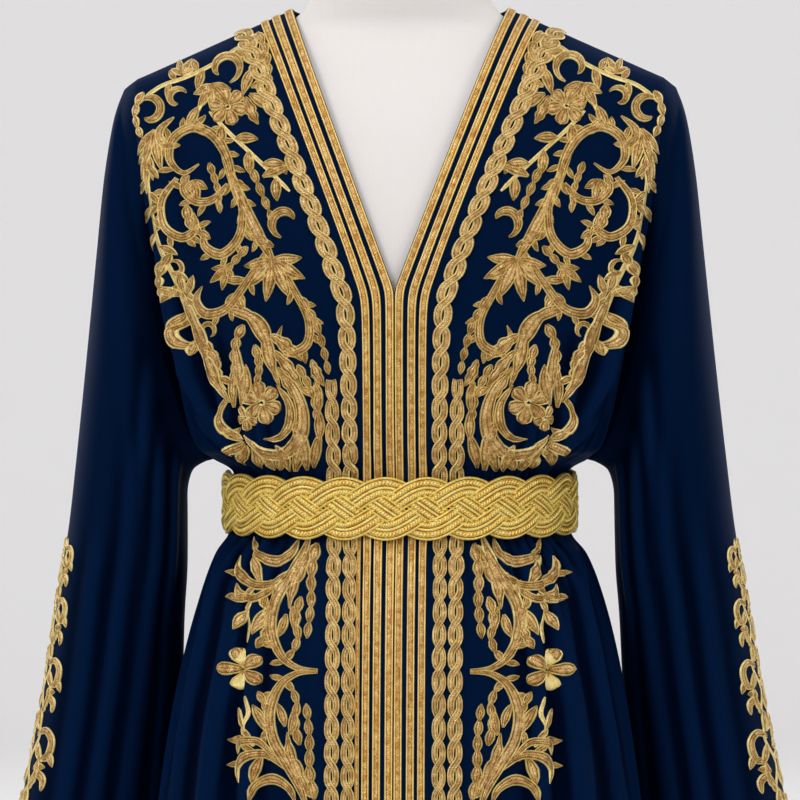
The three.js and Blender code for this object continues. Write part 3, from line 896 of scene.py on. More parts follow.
trims = {"left": [], "right": []}
for word, side in bothSides:
    for name, near, far, endRow in braids:
        trims[word].append(makeBraid(f"{name}_{word}", side, near, far, endRow))
# One more narrow braid, on the left skirt only.
trims["left"].append(makeBraid("braid_fourth_left", -1, 27.4, 30.6, 9))
print("braids made")


chainShape = {"pitch": 18.6, "step": 2.6, "cord": 0.215, "lift": 1.05, "cross": 0.75,
              "profile": mirrored([(-1, 0, 1), (-0.93, 0.8, 1), (-0.72, 1.2, 1), (-0.5, 0.75, -0.4),
                                   (-0.28, 1.05, 0.1), (0, 1.2, 0.3)])}

chains = [
    # name, topmost row; then height, centre offset and width down the chain
    ("chain_inner", topRow, [(40, 37.2, 12.5), (1000, 36.2, 12), (1030, 36.2, 12.5),
                             (1110, 35.6, 13.5), (1240, 37.8, 15.5), (1480, 39.5, 15.5)]),
    ("chain_outer", 14.6, [(40, 50.5, 13.5), (1000, 49, 13), (1030, 49, 13),
                           (1090, 49, 13), (1130, 49.5, 12.5), (1160, 50, 9)]),
]


def makeChain(name, side, endRow, table):
    path = makeEdgePath(side, table[0][1], endRow)
    ribbons = RibbonSet(edgeSurface(side, path), side)
    run = np.arange(0, path[1][-1], chainShape["step"])
    height = readTable(bodySections, np.interp(run, path[1], path[0]))[:, 0]
    levels, middles, widths = np.array(table).T
    middle = np.interp(height, levels, middles)
    width = np.interp(height, levels, widths)
    cord = width * chainShape["cord"]
    reach = width / 2 - cord
    wave = math.pi * run / chainShape["pitch"]
    for turn in (0, math.pi):
        # A rounder eye than a plain wave.
        swing = np.sin(wave + turn) + 0.10 * np.sin(3 * (wave + turn))
        line = np.stack([middle + reach * swing, run], axis=1)
        lift = chainShape["lift"] + chainShape["cross"] * np.cos(wave + turn)
        ribbons.add(line, run, cord, chainShape["profile"], lift)
    return finishPiece(ribbons.build(f"{name}_plait", chainFinish), "chain_braid", name)


for word, side in bothSides:
    for name, endRow, table in chains:
        trims[word].append(makeChain(f"{name}_{word}", side, endRow, table))
print("chain braids made")


beltShape = {"period": 132.0, "swing": 16.2, "half": 8.5, "step": 2.7, "out": 4.2, "lift": 2.4, "weave": 1.25,
             "phase": 0.35, "frontDip": 3.4, "ring": (136, 101, 105), "square": 2.15,
             "profile": mirrored([(-1, -1.2, 1), (-1, 0.6, 1), (-0.95, 1.7, 1), (-0.88, 2.0, 1), (-0.81, 1.6, 1),
                                  (-0.76, 1.0, -0.8), (-0.66, 1.7, 0), (-0.46, 2.25, 0), (-0.26, 1.8, 0),
                                  (-0.15, 1.2, -0.8), (-0.08, 1.9, 1), (0, 2.1, 1)])}
# Height of a strand over its neighbours against its angle along the plait.
beltWeave = [(-45, 1), (45, -1), (90, 1), (135, -1), (225, 1), (270, -1), (315, 1), (405, -1)]


def beltRing():
    turns = np.linspace(-math.pi, math.pi, 2400)
    half, front, back = [size + beltShape["out"] for size in beltShape["ring"]]
    x, y = squareRing(turns, half, front, back, beltShape["square"])
    run = runAlong(np.stack([x, y], axis=1))
    return run - run[-1] / 2, x, y


beltRun, beltX, beltY = beltRing()


def beltSurface(along, height):
    x = np.interp(along, beltRun, beltX)
    y = np.interp(along, beltRun, beltY)
    dip = beltShape["frontDip"] * np.clip(-y / 105, -1, 1)
    return np.stack([x, y, height + beltMiddle - dip], axis=-1)


def weaveHeight(angle):
    angle = (angle + 45) % 360 - 45
    height = np.zeros_like(angle)
    for (start, low), (end, high) in zip(beltWeave[:-1], beltWeave[1:]):
        share = np.clip((angle - start) / (end - start), 0, 1)
        smooth = low + (high - low) * (1 - np.cos(share * math.pi)) / 2
        height = np.where((angle >= start) & (angle <= end), smooth, height)
    return height


beltStitch = {"Length": 4.0, "Width": 1.75, "Height": 1.3, "Jitter": 0.16, "Seed": 7}
beltTwist = {"gap": 2.35, "slant": 52, "lift": 2.15, "channel": 0.46, "hidden": -0.8}


def stitchTree():
    # Puts one small padded stitch on each point of a mesh, turned by the point's own "turn".
    tree = bpy.data.node_groups.new("laid_stitches", "GeometryNodeTree")
    tree.interface.new_socket("Points", in_out="INPUT", socket_type="NodeSocketGeometry")
    for name in ("Length", "Width", "Height", "Jitter"):
        tree.interface.new_socket(name, in_out="INPUT", socket_type="NodeSocketFloat")
    tree.interface.new_socket("Seed", in_out="INPUT", socket_type="NodeSocketInt")
    tree.interface.new_socket("Thread", in_out="INPUT", socket_type="NodeSocketMaterial")
    tree.interface.new_socket("Stitches", in_out="OUTPUT", socket_type="NodeSocketGeometry")

    def add(kind, settings=None, links=None):
        node = tree.nodes.new(kind)
        for key, value in (settings or {}).items():
            setattr(node, key, value)
        for key, value in (links or {}).items():
            if isinstance(value, bpy.types.NodeSocket):
                tree.links.new(value, node.inputs[key])
            else:
                node.inputs[key].default_value = value
        return node

    given = add("NodeGroupInput").outputs
    pad = add("GeometryNodeMeshUVSphere", {}, {"Segments": 6, "Rings": 3, "Radius": 0.5})
    size = add("ShaderNodeCombineXYZ", {}, {"X": given["Length"], "Y": given["Width"], "Z": given["Height"]})
    smallest = add("ShaderNodeMath", {"operation": "SUBTRACT"}, {0: 1.0, 1: given["Jitter"]})
    largest = add("ShaderNodeMath", {"operation": "ADD"}, {0: 1.0, 1: given["Jitter"]})
    vary = add("FunctionNodeRandomValue", {"data_type": "FLOAT"},
               {2: smallest.outputs[0], 3: largest.outputs[0], "Seed": given["Seed"]})
    scale = add("ShaderNodeVectorMath", {"operation": "SCALE"}, {0: size.outputs[0], "Scale": vary.outputs[1]})
    turn = add("GeometryNodeInputNamedAttribute", {"data_type": "FLOAT_VECTOR"}, {"Name": "turn"})
    aim = add("FunctionNodeEulerToRotation", {}, {0: turn.outputs[0]})
    laid = add("GeometryNodeInstanceOnPoints", {},
               {"Points": given["Points"], "Instance": pad.outputs["Mesh"], "Rotation": aim.outputs[0],
                "Scale": scale.outputs[0]})
    whole = add("GeometryNodeRealizeInstances", {}, {"Geometry": laid.outputs[0]})
    soft = add("GeometryNodeSetShadeSmooth", {}, {"Geometry": whole.outputs[0]})
    coloured = add("GeometryNodeSetMaterial", {}, {"Geometry": soft.outputs[0], "Material": given["Thread"]})
    add("NodeGroupOutput", {}, {0: coloured.outputs[0]})
    return tree


stitchNodes = stitchTree()


def makeStitches(name, places, turns, shape, material):
    # places in mm; turns are three axes a point: along the stitch, across it and out of the cloth.
    points = bpy.data.meshes.new(name)
    points.from_pydata((places / 1000).tolist(), [], [])
    angles = np.array([Matrix(turn.T.tolist()).to_euler() for turn in turns])
    points.attributes.new("turn", "FLOAT_VECTOR", "POINT").data.foreach_set("vector", angles.ravel())
    carrier = addObject(name + "_points", points)
    modifier = carrier.modifiers.new("stitches", "NODES")
    modifier.node_group = stitchNodes
    for item in stitchNodes.interface.items_tree:
        if item.in_out == "INPUT" and item.name in shape:
            value = shape[item.name]
            modifier[item.identifier] = value / 1000 if item.name in ("Length", "Width", "Height") else value
        elif item.name == "Thread":
            modifier[item.identifier] = material
    bpy.context.view_layer.update()
    mesh = bpy.data.meshes.new_from_object(carrier.evaluated_get(bpy.context.evaluated_depsgraph_get()))
    carrier.modifiers.remove(modifier)
    bpy.data.objects.remove(carrier)
    return addObject(name, mesh)


def channelGrains(line, length, lift, offset, seen):
    # One row of slanted stitches down one side of a strand, where the strand shows.
    along, sideways = lineFrame(line)
    spots = np.arange(1, length[-1], beltTwist["gap"])
    spots = spots[np.interp(spots, length, seen.astype(float)) > 0.5]
    p, q = resample(spots, length, line + sideways * offset).T
    heading = np.interp(spots, length, np.unwrap(np.arctan2(along[:, 1], along[:, 0])))
    heading = heading + math.radians(beltTwist["slant"])
    normals = planeNormals(beltSurface, p, q, 1)
    base = beltSurface(p, q)
    ahead = unit(beltSurface(p + np.cos(heading), q + np.sin(heading)) - base)
    height = np.interp(spots, length, lift) + beltTwist["lift"]
    return base + normals * height[:, None], np.stack([ahead, np.cross(normals, ahead), normals], axis=1)


def makeBelt():
    ribbons = RibbonSet(beltSurface, 1)
    run = np.arange(beltRun[0] + 1, beltRun[-1] - 1, beltShape["step"])
    grains = []
    for strand in range(4):
        angle = 360 * run / beltShape["period"] + strand * 90 + math.degrees(beltShape["phase"])
        turn = np.radians(angle)
        height = beltShape["swing"] * (np.cos(turn) + 0.04 * np.cos(3 * turn))
        line = np.stack([run, height], axis=1)
        length = runAlong(line)
        lift = beltShape["lift"] + beltShape["weave"] * weaveHeight(angle)
        ribbons.add(line, length, beltShape["half"], beltShape["profile"], lift)
        seen = weaveHeight(angle) > beltTwist["hidden"]
        for way in (-1, 1):
            grains.append(channelGrains(line, length, lift, way * beltTwist["channel"] * beltShape["half"], seen))
    finishPiece(ribbons.build("belt_plait", beltFinish), "belt_cord", "belt")
    places, turns = [np.concatenate(part) for part in zip(*grains)]
    finishPiece(makeStitches("belt_twist", places, turns, beltStitch, grainFinish), "belt_cord")


makeBelt()
print("belt made")


# Across a motif: a couched cord at each edge, a groove beside it and a padded middle with a vein; tones below 0 paint
# shade into the groove and the vein.
motifProfile = mirrored([(-1, 0, 1), (-0.95, 0.8, 1), (-0.8, 1.3, 1), (-0.66, 0.8, 0.6), (-0.6, 0.5, -0.8),
                         (-0.4, 1.15, 0.05), (-0.16, 1.5, 0.25), (0, 1.15, -0.5)])
stemProfile = mirrored([(-1, 0, 1), (-0.9, 0.8, 1), (-0.5, 1.1, 0.9), (0, 0.85, 0.35)])

# How wide a motif is along its length, from its root at 0 to its tip at 1.
widthShapes = {
    "leaf": ([0, 0.1, 0.3, 0.5, 0.75, 0.92, 1], [0.25, 0.5, 0.92, 1, 0.72, 0.32, 0.06]),
    "scroll": ([0, 0.08, 0.35, 0.7, 0.88, 0.96, 1], [0.2, 0.45, 0.95, 1, 0.75, 0.45, 0.12]),
    "hook": ([0, 0.15, 0.45, 0.75, 0.9, 1], [0.5, 0.7, 0.85, 1, 0.72, 0.1]),
    "petal": ([0, 0.12, 0.45, 0.75, 0.93, 1], [0.3, 0.6, 0.95, 1, 0.6, 0.1]),
    "crescent": ([0, 0.15, 0.5, 0.85, 1], [0.08, 0.6, 1, 0.6, 0.08]),
    "stem": ([0, 0.06, 0.94, 1], [0.5, 1, 1, 0.5]),
}

# Stitched motifs come out wider than they are drawn.
fullness = {"leaf": 1.5, "scroll": 1.5, "hook": 1.5, "petal": 1.15, "crescent": 1.35, "stem": 1.35}


class Embroidery(RibbonSet):
    # Draws motifs in a flat layout; frame turns layout points into places on the surface.
    def __init__(self, surface, side, spacing):
        super().__init__(surface, side)
        self.spacing = spacing
        self.frame = lambda points: points
        self.level = 0
        self.keep = lambda line: True

    def lay(self, kind, points, width):
        line, run = smoothLine(self.frame(np.asarray(points, float)), self.spacing)
        if not self.keep(line):
            return
        share = run / run[-1]
        base = "leaf" if kind == "lobed" else kind
        half = width / 2 * fullness[base] * np.interp(share, *widthShapes[base])
        if kind == "lobed":
            half = half * (0.74 + 0.34 * np.abs(np.sin(share * math.pi * 3.5)))
        half = np.maximum(half, 0.35)
        self.level = (self.level + 1) % 5
        profile = stemProfile if kind == "stem" else motifProfile
        self.add(line, run, half, profile, 0.05 + 0.11 * self.level, 1.5)

    def fringe(self, points, width, gap=12.0):
        # Small leaves along the outer side of a scroll's bend.
        line, _ = smoothLine(points, gap)
        for k in range(1, len(line) - 1):
            before, after = line[k] - line[k - 1], line[k + 1] - line[k]
            side = -1 if before[0] * after[1] - before[1] * after[0] > 0 else 1
            heading = math.atan2(*(before + after)[::-1])
            out = heading + side * math.pi / 2
            start = line[k] + np.array([math.cos(out), math.sin(out)]) * width * 0.42
            self.leaf(*start, math.degrees(heading) + side * 34, 11.5 - 1.6 * (k % 2), 3.6, side * 30)

    def husks(self, points, length, width):
        # Buds strung one out of the other, getting smaller towards the tip.
        line, _ = smoothLine(points, length * 0.74)
        for k in range(len(line) - 1):
            size = 1 - 0.3 * k / len(line)
            step = line[k + 1] - line[k]
            self.leaf(*line[k], math.degrees(math.atan2(step[1], step[0])), length * size, width * size)

    def leaf(self, x, z, direction, length, width, bend=0.0, kind="leaf"):
        heading = np.radians(direction + bend * np.arange(8) / 8)
        steps = np.stack([np.cos(heading), np.sin(heading)], axis=1) * length / 8
        self.lay(kind, np.array([x, z]) + np.concatenate([[[0, 0]], np.cumsum(steps, axis=0)]), width)

    def curl(self, x, z, radius, start, sweep, width, kind="scroll", shrink=0.42):
        share = np.linspace(0, 1, 13)
        heading = np.radians(start + sweep * share)
        reach = radius * (1 - shrink * share)
        self.lay(kind, np.stack([x + reach * np.cos(heading), z + reach * np.sin(heading)], axis=1), width)

    def fan(self, x, z, direction, spread, count, length, width, curve=18.0):
        # Leaves out of one point, the middle ones longest, the outer ones bending away.
        for k in range(count):
            part = 2 * k / (count - 1) - 1
            reach = length * (1 - 0.32 * part * part)
            self.leaf(x, z, direction + spread / 2 * part, reach, width * (1 - 0.15 * abs(part)), curve * part)

    def flower(self, x, z, radius, count, turn=0.0, width=None):
        usual, self.spacing = self.spacing, 1.7  # petals are small, so they get closer points
        for k in range(count):
            angle = turn + 360 * k / count
            away = np.array([math.cos(math.radians(angle)), math.sin(math.radians(angle))]) * radius * 0.16
            self.leaf(x + away[0], z + away[1], angle, radius * 0.86, width or radius * 0.62, 0, "petal")
        self.curl(x, z, radius * 0.17, 0, 330, radius * 0.16, "stem", 0.0)
        self.spacing = usual

    def vine(self, points, width, leafLength, leafWidth, gap):
        # A stem with leaves out of it, one side and then the other.
        self.lay("stem", points, width)
        line, _ = smoothLine(points, gap)
        for k in range(1, len(line) - 1):
            heading = math.degrees(math.atan2(*(line[k + 1] - line[k - 1])[::-1]))
            side = 1 if k % 2 else -1
            self.leaf(*line[k], heading + side * 48, leafLength, leafWidth, -side * 14)


bodiceSpacing = 2.1
bodiceVines = [
    # points of the stem, its width, then length, width and gap of its leaves
    ([(197, 1352), (199, 1322), (196, 1292), (187, 1262), (176, 1234), (166, 1205), (155, 1176), (143, 1148)],
     2.2, 15, 4.4, 11.5),
    ([(151, 1372), (136, 1356), (119, 1340), (100, 1322), (84, 1306)], 2.6, 19, 6.2, 15),
]
bodiceFans = [
    # root from the centre front, height, direction, spread, leaves, length, width, curve
    (196, 1358, -92, 66, 4, 36, 6.0, 10),
    (198, 1338, -84, 40, 3, 32, 5.2, -8),
    (150, 1395, -96, 120, 5, 25, 6.4),
    (176, 1404, 92, 110, 4, 17, 4.6),
    (133, 1246, -58, 90, 4, 20, 5.0),
    (162, 1316, -100, 80, 3, 20, 6.0),
    (104, 1414, -20, 80, 3, 17, 4.8),
    (97, 1252, 262, 150, 6, 35, 7.6, 22),
]
# centre from the centre front, height, radius, petals, turn
bodiceFlowers = [(136, 1376, 16, 6, 12), (111, 1138, 17, 6, 20), (127, 1126, 10.5, 5, 60)]
bodiceScrolls = [
    # kind, width, points of its middle line: distance from the centre front, height
    ("scroll", 5.6, [(158, 1329), (171, 1322), (182, 1333), (180, 1350),
                     (164, 1359), (146, 1351), (134, 1331), (128, 1304)]),
    ("scroll", 6.6, [(140, 1338), (126, 1306), (111, 1276), (95, 1248)]),
    ("hook", 5.8, [(131, 1322), (122, 1294), (124, 1270), (138, 1256), (152, 1263), (153, 1278)]),
    ("hook", 5.6, [(134, 1312), (146, 1300), (160, 1299), (170, 1309), (166, 1320)]),
    ("hook", 5.2, [(176, 1318), (186, 1300), (184, 1280), (171, 1270), (160, 1277), (162, 1290)]),
    ("hook", 5.8, [(103, 1256), (118, 1233), (134, 1213), (151, 1209), (159, 1220), (154, 1231)]),
    ("hook", 5.6, [(92, 1249), (79, 1226), (68, 1204), (69, 1185), (83, 1178), (92, 1188), (89, 1199)]),
    ("lobed", 9.0, [(140, 1213), (126, 1211), (112, 1204), (103, 1190), (100, 1170), (94, 1150)]),
    ("crescent", 9.5, [(97, 1166), (82, 1150), (75, 1129), (80, 1109), (97, 1097), (118, 1099), (133, 1112)]),
    ("crescent", 6.4, [(97, 1152), (87, 1137), (88, 1121), (99, 1110), (114, 1109)]),
    ("lobed", 8.5, [(172, 1226), (163, 1206), (155, 1184), (150, 1160), (142, 1138)]),
    ("hook", 4.6, [(163, 1206), (172, 1196), (168, 1184), (158, 1186)]),
    ("hook", 4.2, [(144, 1140), (152, 1126), (146, 1114), (136, 1118)]),
    ("stem", 2.6, [(207, 1384), (192, 1395), (172, 1402), (150, 1413), (128, 1429)]),
    ("stem", 2.4, [(150, 1391), (160, 1374), (166, 1356)]),
    ("scroll", 4.8, [(180, 1368), (191, 1357), (187, 1345), (174, 1345)]),
]
bodiceCurls = [
    # centre from the centre front, height, radius, start angle, sweep, width
    (140, 1409, 13.5, 250, -300, 4.8),
    (201, 1374, 12, 40, 265, 5.0),
    (178, 1384, 8.5, 150, -250, 3.8),
    (87, 1281, 12.5, -75, 235, 5.2),
    (84, 1322, 6.0, 200, -240, 3.2),
    (192, 1291, 7.5, 20, 260, 3.2),
    (177, 1245, 7.0, 60, 250, 3.2),
    (150, 1196, 6.5, 240, -260, 3.0),
    (66, 1153, 6.0, 80, 250, 3.0),
    (116, 1088, 6.0, 200, -230, 3.0),
]
bodiceLeaves = [
    # root from the centre front, height, direction, length, width, bend, and kind where it isn't a plain leaf
    (126, 1430, 150, 20, 5.5, 20),
    (120, 1434, -80, 22, 5.5, 20),
    (133, 1424, -150, 16, 5.0, -20),
    (163, 1407, 60, 12, 4.5, 10),
    (181, 1400, 50, 11, 4.2, 10),
    (158, 1408, -70, 19, 5.5, -20),
    (186, 1397, -95, 15, 4.8, 15),
    (116, 1408, -60, 24, 6.2, -24),
    (113, 1410, 110, 17, 5.0, 20),
    (119, 1386, 205, 25, 6.8, 22),
    (122, 1384, 250, 26, 7.0, -14, "lobed"),
    (118, 1392, 160, 18, 5.0, -25),
    (166, 1366, -130, 20, 5.8, -14),
    (160, 1376, -60, 22, 6.0, -14),
    (106, 1318, 150, 24, 6.0, 24),
    (96, 1262, 20, 26, 6.2, 26, "lobed"),
    (118, 1236, -10, 20, 5.0, 30),
    (99, 1192, 212, 33, 7.6, 18, "lobed"),
    (98, 1180, 226, 40, 6.6, 14, "lobed"),
    (95, 1166, 236, 34, 6.0, 12, "lobed"),
    (120, 1210, 70, 17, 5.4, -30),
    (134, 1213, 110, 15, 5.0, 30),
    (125, 1142, 78, 46, 6.8, 22),
    (130, 1136, 118, 34, 5.8, -30),
    (139, 1134, 96, 40, 6.0, 24),
    (172, 1224, 20, 15, 5.0, 20),
    (170, 1226, 70, 19, 5.4, 10),
    (168, 1224, 120, 17, 5.2, -20),
    (136, 1108, 20, 17, 4.8, 40),
    (132, 1104, -70, 17, 6.0, -20),
    (134, 1106, -25, 18, 5.6, -30),
    (76, 1150, 205, 14, 4.4, 20),
    (66, 1172, 250, 24, 6.0, -16, "lobed"),
    (64, 1154, 240, 18, 4.6, 20),
    # flames rising from the belt
    (66, 1086, 98, 30, 6.4, 18),
    (73, 1084, 84, 46, 7.6, -24),
    (84, 1083, 100, 30, 6.8, 22),
    (90, 1083, 70, 25, 6.0, -26),
    (99, 1084, 86, 19, 6.0, 20),
    (106, 1084, 48, 22, 5.4, 30),
    (118, 1085, 72, 20, 5.2, -30),
    (60, 1108, 96, 26, 6.0, -18),
    (60, 1130, 84, 20, 5.4, 20),
]
bodiceHusks = [
    # points, length and width of one bud
    ([(207, 1390), (214, 1372), (206, 1352)], 13, 5.2),
    ([(116, 1440), (108, 1424), (104, 1404), (103, 1384)], 14, 6.0),
    ([(120, 1336), (107, 1306), (96, 1280)], 15, 5.4),
    ([(150, 1330), (142, 1308), (140, 1290)], 12, 4.6),
    ([(168, 1296), (164, 1280), (150, 1270)], 14, 6.4),
    ([(117, 1262), (130, 1248), (140, 1236)], 12, 5.0),
    ([(75, 1222), (62, 1200), (55, 1176), (52, 1160)], 14, 5.4),
    ([(120, 1200), (128, 1184), (132, 1166), (128, 1150)], 14, 6.0),
    ([(112, 1184), (110, 1168), (114, 1154)], 13, 5.4),
    ([(152, 1188), (146, 1174), (146, 1158)], 12, 4.8),
    ([(78, 1168), (66, 1146), (62, 1124)], 13, 5.0),
    ([(180, 1258), (186, 1240), (180, 1222)], 12, 4.8),
]


def drawnIn(points):
    # The layout narrows towards the waist as the cloth does.
    squeeze = 1 - 0.2 * np.clip((1190 - points[:, 1]) / 90, 0, 1)
    return np.stack([60 + (points[:, 0] - 60) * np.where(points[:, 0] > 60, squeeze, 1), points[:, 1]], axis=1)


def embroiderBodice(word, side):
    work = Embroidery(lambda p, q: frontSurface(p, q, side), side, bodiceSpacing)
    work.frame = drawnIn
    for row in bodiceVines:
        work.vine(*row)
    for row in bodiceFans:
        work.fan(*row)
    for kind, width, points in bodiceScrolls:
        work.lay(kind, points, width)
        if kind in ("scroll", "hook") and width > 5:
            work.fringe(points, width)
    for draw, rows in ((work.husks, bodiceHusks), (work.curl, bodiceCurls), (work.leaf, bodiceLeaves),
                       (work.flower, bodiceFlowers)):
        for row in rows:
            draw(*row)
    return finishPiece(work.build(f"bodice_embroidery_{word}", stitchFinish), "woven_braid")


skirtRepeat = {"half": 106.0, "firstFlower": 926.0, "lowest": 52.0, "spacing": 2.9}
skirtScrolls = [
    # kind, width, points: distance from the centre front, distance above the flower
    ("scroll", 6.4, [(60, 1), (76, 2), (90, 12), (98, 32), (95, 54), (83, 74), (73, 92), (68, 108)]),
    ("crescent", 6.8, [(77, 104), (82, 92), (95, 85), (109, 91), (113, 104)]),
    ("hook", 5.6, [(82, 78), (98, 67), (113, 67), (123, 77), (121, 89)]),
    ("hook", 5.0, [(96, 66), (108, 56), (121, 58), (124, 67)]),
    ("lobed", 7.6, [(66, 96), (74, 82), (81, 66), (84, 48)]),
    ("stem", 2.2, [(110, 60), (117, 46), (113, 34), (116, 21)]),
]
skirtHusks = [
    ([(62, 100), (66, 78), (66, 52), (69, 26)], 17, 6.4),
    ([(74, 58), (78, 40), (76, 22), (86, 8)], 15, 5.6),
    ([(101, 50), (100, 34), (106, 20)], 14, 5.6),
]
skirtLeaves = [
    (104, 67, 62, 24, 5.6, 24),
    (112, 58, -20, 18, 5.0, 20),
    (116, 46, -50, 18, 5.2, -20),
    (96, 50, -48, 27, 6.4, -20),
    (82, 50, -112, 22, 5.6, 30),
    (86, 44, -80, 20, 5.2, 24),
    (92, 18, 10, 12, 4.4, 40),
]


def embroiderSkirt(word, side):
    work = Embroidery(lambda p, q: frontSurface(p, q, side), side, skirtRepeat["spacing"])
    work.keep = lambda line: line[:, 1].min() > skirtRepeat["lowest"]
    middle = skirtRepeat["firstFlower"]
    while middle > skirtRepeat["lowest"] - skirtRepeat["half"]:
        for way in (1, -1):
            work.frame = lambda points: np.stack([points[:, 0], middle + way * points[:, 1]], axis=1)
            for kind, width, points in skirtScrolls:
                work.lay(kind, points, width)
                if kind in ("scroll", "hook"):
                    work.fringe(points, width, 14)
            for row in skirtHusks:
                work.husks(*row)
            for row in skirtLeaves:
                work.leaf(*row)
        work.frame = lambda points: np.stack([points[:, 0], middle + points[:, 1]], axis=1)
        work.flower(119, 0, 17, 5, 0, 9.5)
        middle -= 2 * skirtRepeat["half"]
    return finishPiece(work.build(f"skirt_embroidery_{word}", stitchFinish), "woven_braid")


sleeveRepeat = {"top": 1026.0, "bottom": 752.0, "unit": 68.0, "narrow": 0.62, "wide": 1.25, "middle": 19.0, "drift": 6,
                "spacing": 1.9}
sleeveScrolls = [
    # kind, width, points: sideways from the column's middle, distance below the unit's top
    ("stem", 2.6, [(0, 0), (7, 18), (-6, 40), (4, 60), (0, 76)]),
    ("hook", 5.4, [(2, 16), (16, 12), (26, 20), (24, 34), (13, 36)]),
    ("hook", 5.4, [(-4, 36), (-18, 32), (-28, 40), (-26, 54), (-15, 56)]),
    ("scroll", 4.8, [(3, 58), (15, 50), (24, 54), (24, 64)]),
    ("scroll", 4.8, [(2, 12), (-10, 6), (-20, 10), (-21, 21)]),
]
sleeveHusks = [([(-12, 4), (-16, -12), (-10, -24)], 12, 5), ([(12, -38), (14, -50), (6, -62)], 12, 5)]
sleeveLeaves = [
    (5, 22, -62, 22, 5.6, 20),
    (-4, 44, -118, 22, 5.6, -20),
    (2, 60, -80, 22, 5.8, 16),
    (-1, 62, -110, 20, 5.2, -16),
    (6, 46, 20, 18, 5.0, -26),
    (-6, 26, 165, 18, 5.0, 26),
    (24, 30, -50, 15, 4.6, -20),
    (-26, 50, -130, 15, 4.6, 20),
]


def sleeveLayout(side):
    rings = np.linspace(4, len(sleeveRings) - 1, 300)
    table = readTable(sleeveRings, rings)

    def surface(p, q):
        # p runs round the sleeve from its outer edge towards the front, q is the height there.
        turn = np.asarray(p, float) / 56
        share = (1 + np.cos(turn)) / 2
        ring = np.interp(-q, -table[:, 1], rings)
        for _ in range(3):
            row = readTable(sleeveRings, ring)
            height = row[..., 3] + (row[..., 1] - row[..., 3]) * share
            ring = ring + (height - q) / 60
        return sleeveSurface(np.clip(ring, 0, len(sleeveRings) - 1), turn, side)
    return surface


def embroiderSleeve(word, side):
    work = Embroidery(sleeveLayout(side), -side, sleeveRepeat["spacing"])
    height = sleeveRepeat["top"]
    work.keep = lambda line: line[:, 1].min() > sleeveRepeat["bottom"]
    while height > sleeveRepeat["bottom"]:
        fall = (sleeveRepeat["top"] - height) / (sleeveRepeat["top"] - sleeveRepeat["bottom"])
        size = sleeveRepeat["narrow"] + (sleeveRepeat["wide"] - sleeveRepeat["narrow"]) * fall
        bold = 0.55 + 0.45 * size
        middle = sleeveRepeat["middle"] + sleeveRepeat["drift"] * fall
        work.frame = lambda points: np.stack(
            [middle + points[:, 0] * size, height - np.abs(points[:, 1]) * size], axis=1)
        for kind, width, points in sleeveScrolls:
            work.lay(kind, points, width * bold)
        for row in sleeveHusks:
            work.husks(*row)
        for x, z, direction, length, width, bend in sleeveLeaves:
            work.leaf(x, -z, direction, length, width * bold, bend)
        height -= sleeveRepeat["unit"] * size
    return finishPiece(work.build(f"sleeve_embroidery_{word}", stitchFinish), "woven_braid")


for word, side in bothSides:
    trims[word] += [embroiderBodice(word, side), embroiderSkirt(word, side)]
    embroiderSleeve(word, side)
print("embroidery made")


binding = {"cord": 3.3, "step": 2.0, "lift": 0.1, "inset": 0.5}


def bindJoin():
    # Cords side by side over the join at the back.
    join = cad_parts["belt_join"]
    corners = np.array([tuple(join.matrix_world @ Vector(corner)) for corner in join.bound_box]) / millimetre
    left, _, low = corners.min(axis=0)
    right, back, high = corners.max(axis=0)
    cords = RibbonSet(lambda p, q: np.stack([p, back + 0 * p, q], axis=-1), -1)
    count = int((right - left) / binding["cord"])
    for k in range(count):
        x = left + (right - left) * (k + 0.5) / count
        heights = (low + binding["inset"], (low + high) / 2, high - binding["inset"])
        line, run = smoothLine([(x, z) for z in heights], binding["step"])
        cords.add(line, run, (right - left) / count / 2, stemProfile, binding["lift"])
    return finishPiece(cords.build("belt_binding", beltFinish), "belt_cord")


bindJoin()

hemStitch = {"Length": 4.4, "Width": 0.9, "Height": 0.7, "Jitter": 0.12, "Seed": 3}
hemRows = {"gap": 7.0, "ends": 4, "lift": 0.35, "hemRow": 0.11, "cuffRow": 1.3, "points": 400}


def stitchRow(points, inside):
    # Stitches end to end along a line of points, facing away from the inside.
    run = runAlong(points)
    spots = np.arange(hemRows["ends"], run[-1] - hemRows["ends"], hemRows["gap"])
    rows = (points, np.gradient(points, run, axis=0), points - inside)
    places, ahead, out = [resample(spots, run, row) for row in rows]
    ahead = unit(ahead)
    out = unit(out - ahead * np.sum(out * ahead, axis=1, keepdims=True))
    return places + out * hemRows["lift"], np.stack([ahead, np.cross(out, ahead), out], axis=1)


def makeHems():
    rows = []
    hemRow = hemRows["hemRow"]
    x = readTable(bodySections, hemRow)[4] * np.sin(np.linspace(0.02, math.pi / 2, hemRows["points"])) ** 0.95
    turns = np.linspace(0, 2 * math.pi, hemRows["points"])
    for side in (-1, 1):
        for face in ("front", "back"):
            line = bodySurface(hemRow + 0 * x, x, side, face)
            rows.append(stitchRow(line, np.array([0, 0, line[0, 2]])))
        cuff = sleeveSurface(len(sleeveRings) - hemRows["cuffRow"] + 0 * turns, turns, side)
        rows.append(stitchRow(cuff, cuff.mean(axis=0)))
    places, turns = [np.concatenate(part) for part in zip(*rows)]
    return finishPiece(makeStitches("hem_stitching", places, turns, hemStitch, clothFinish), "cloth")


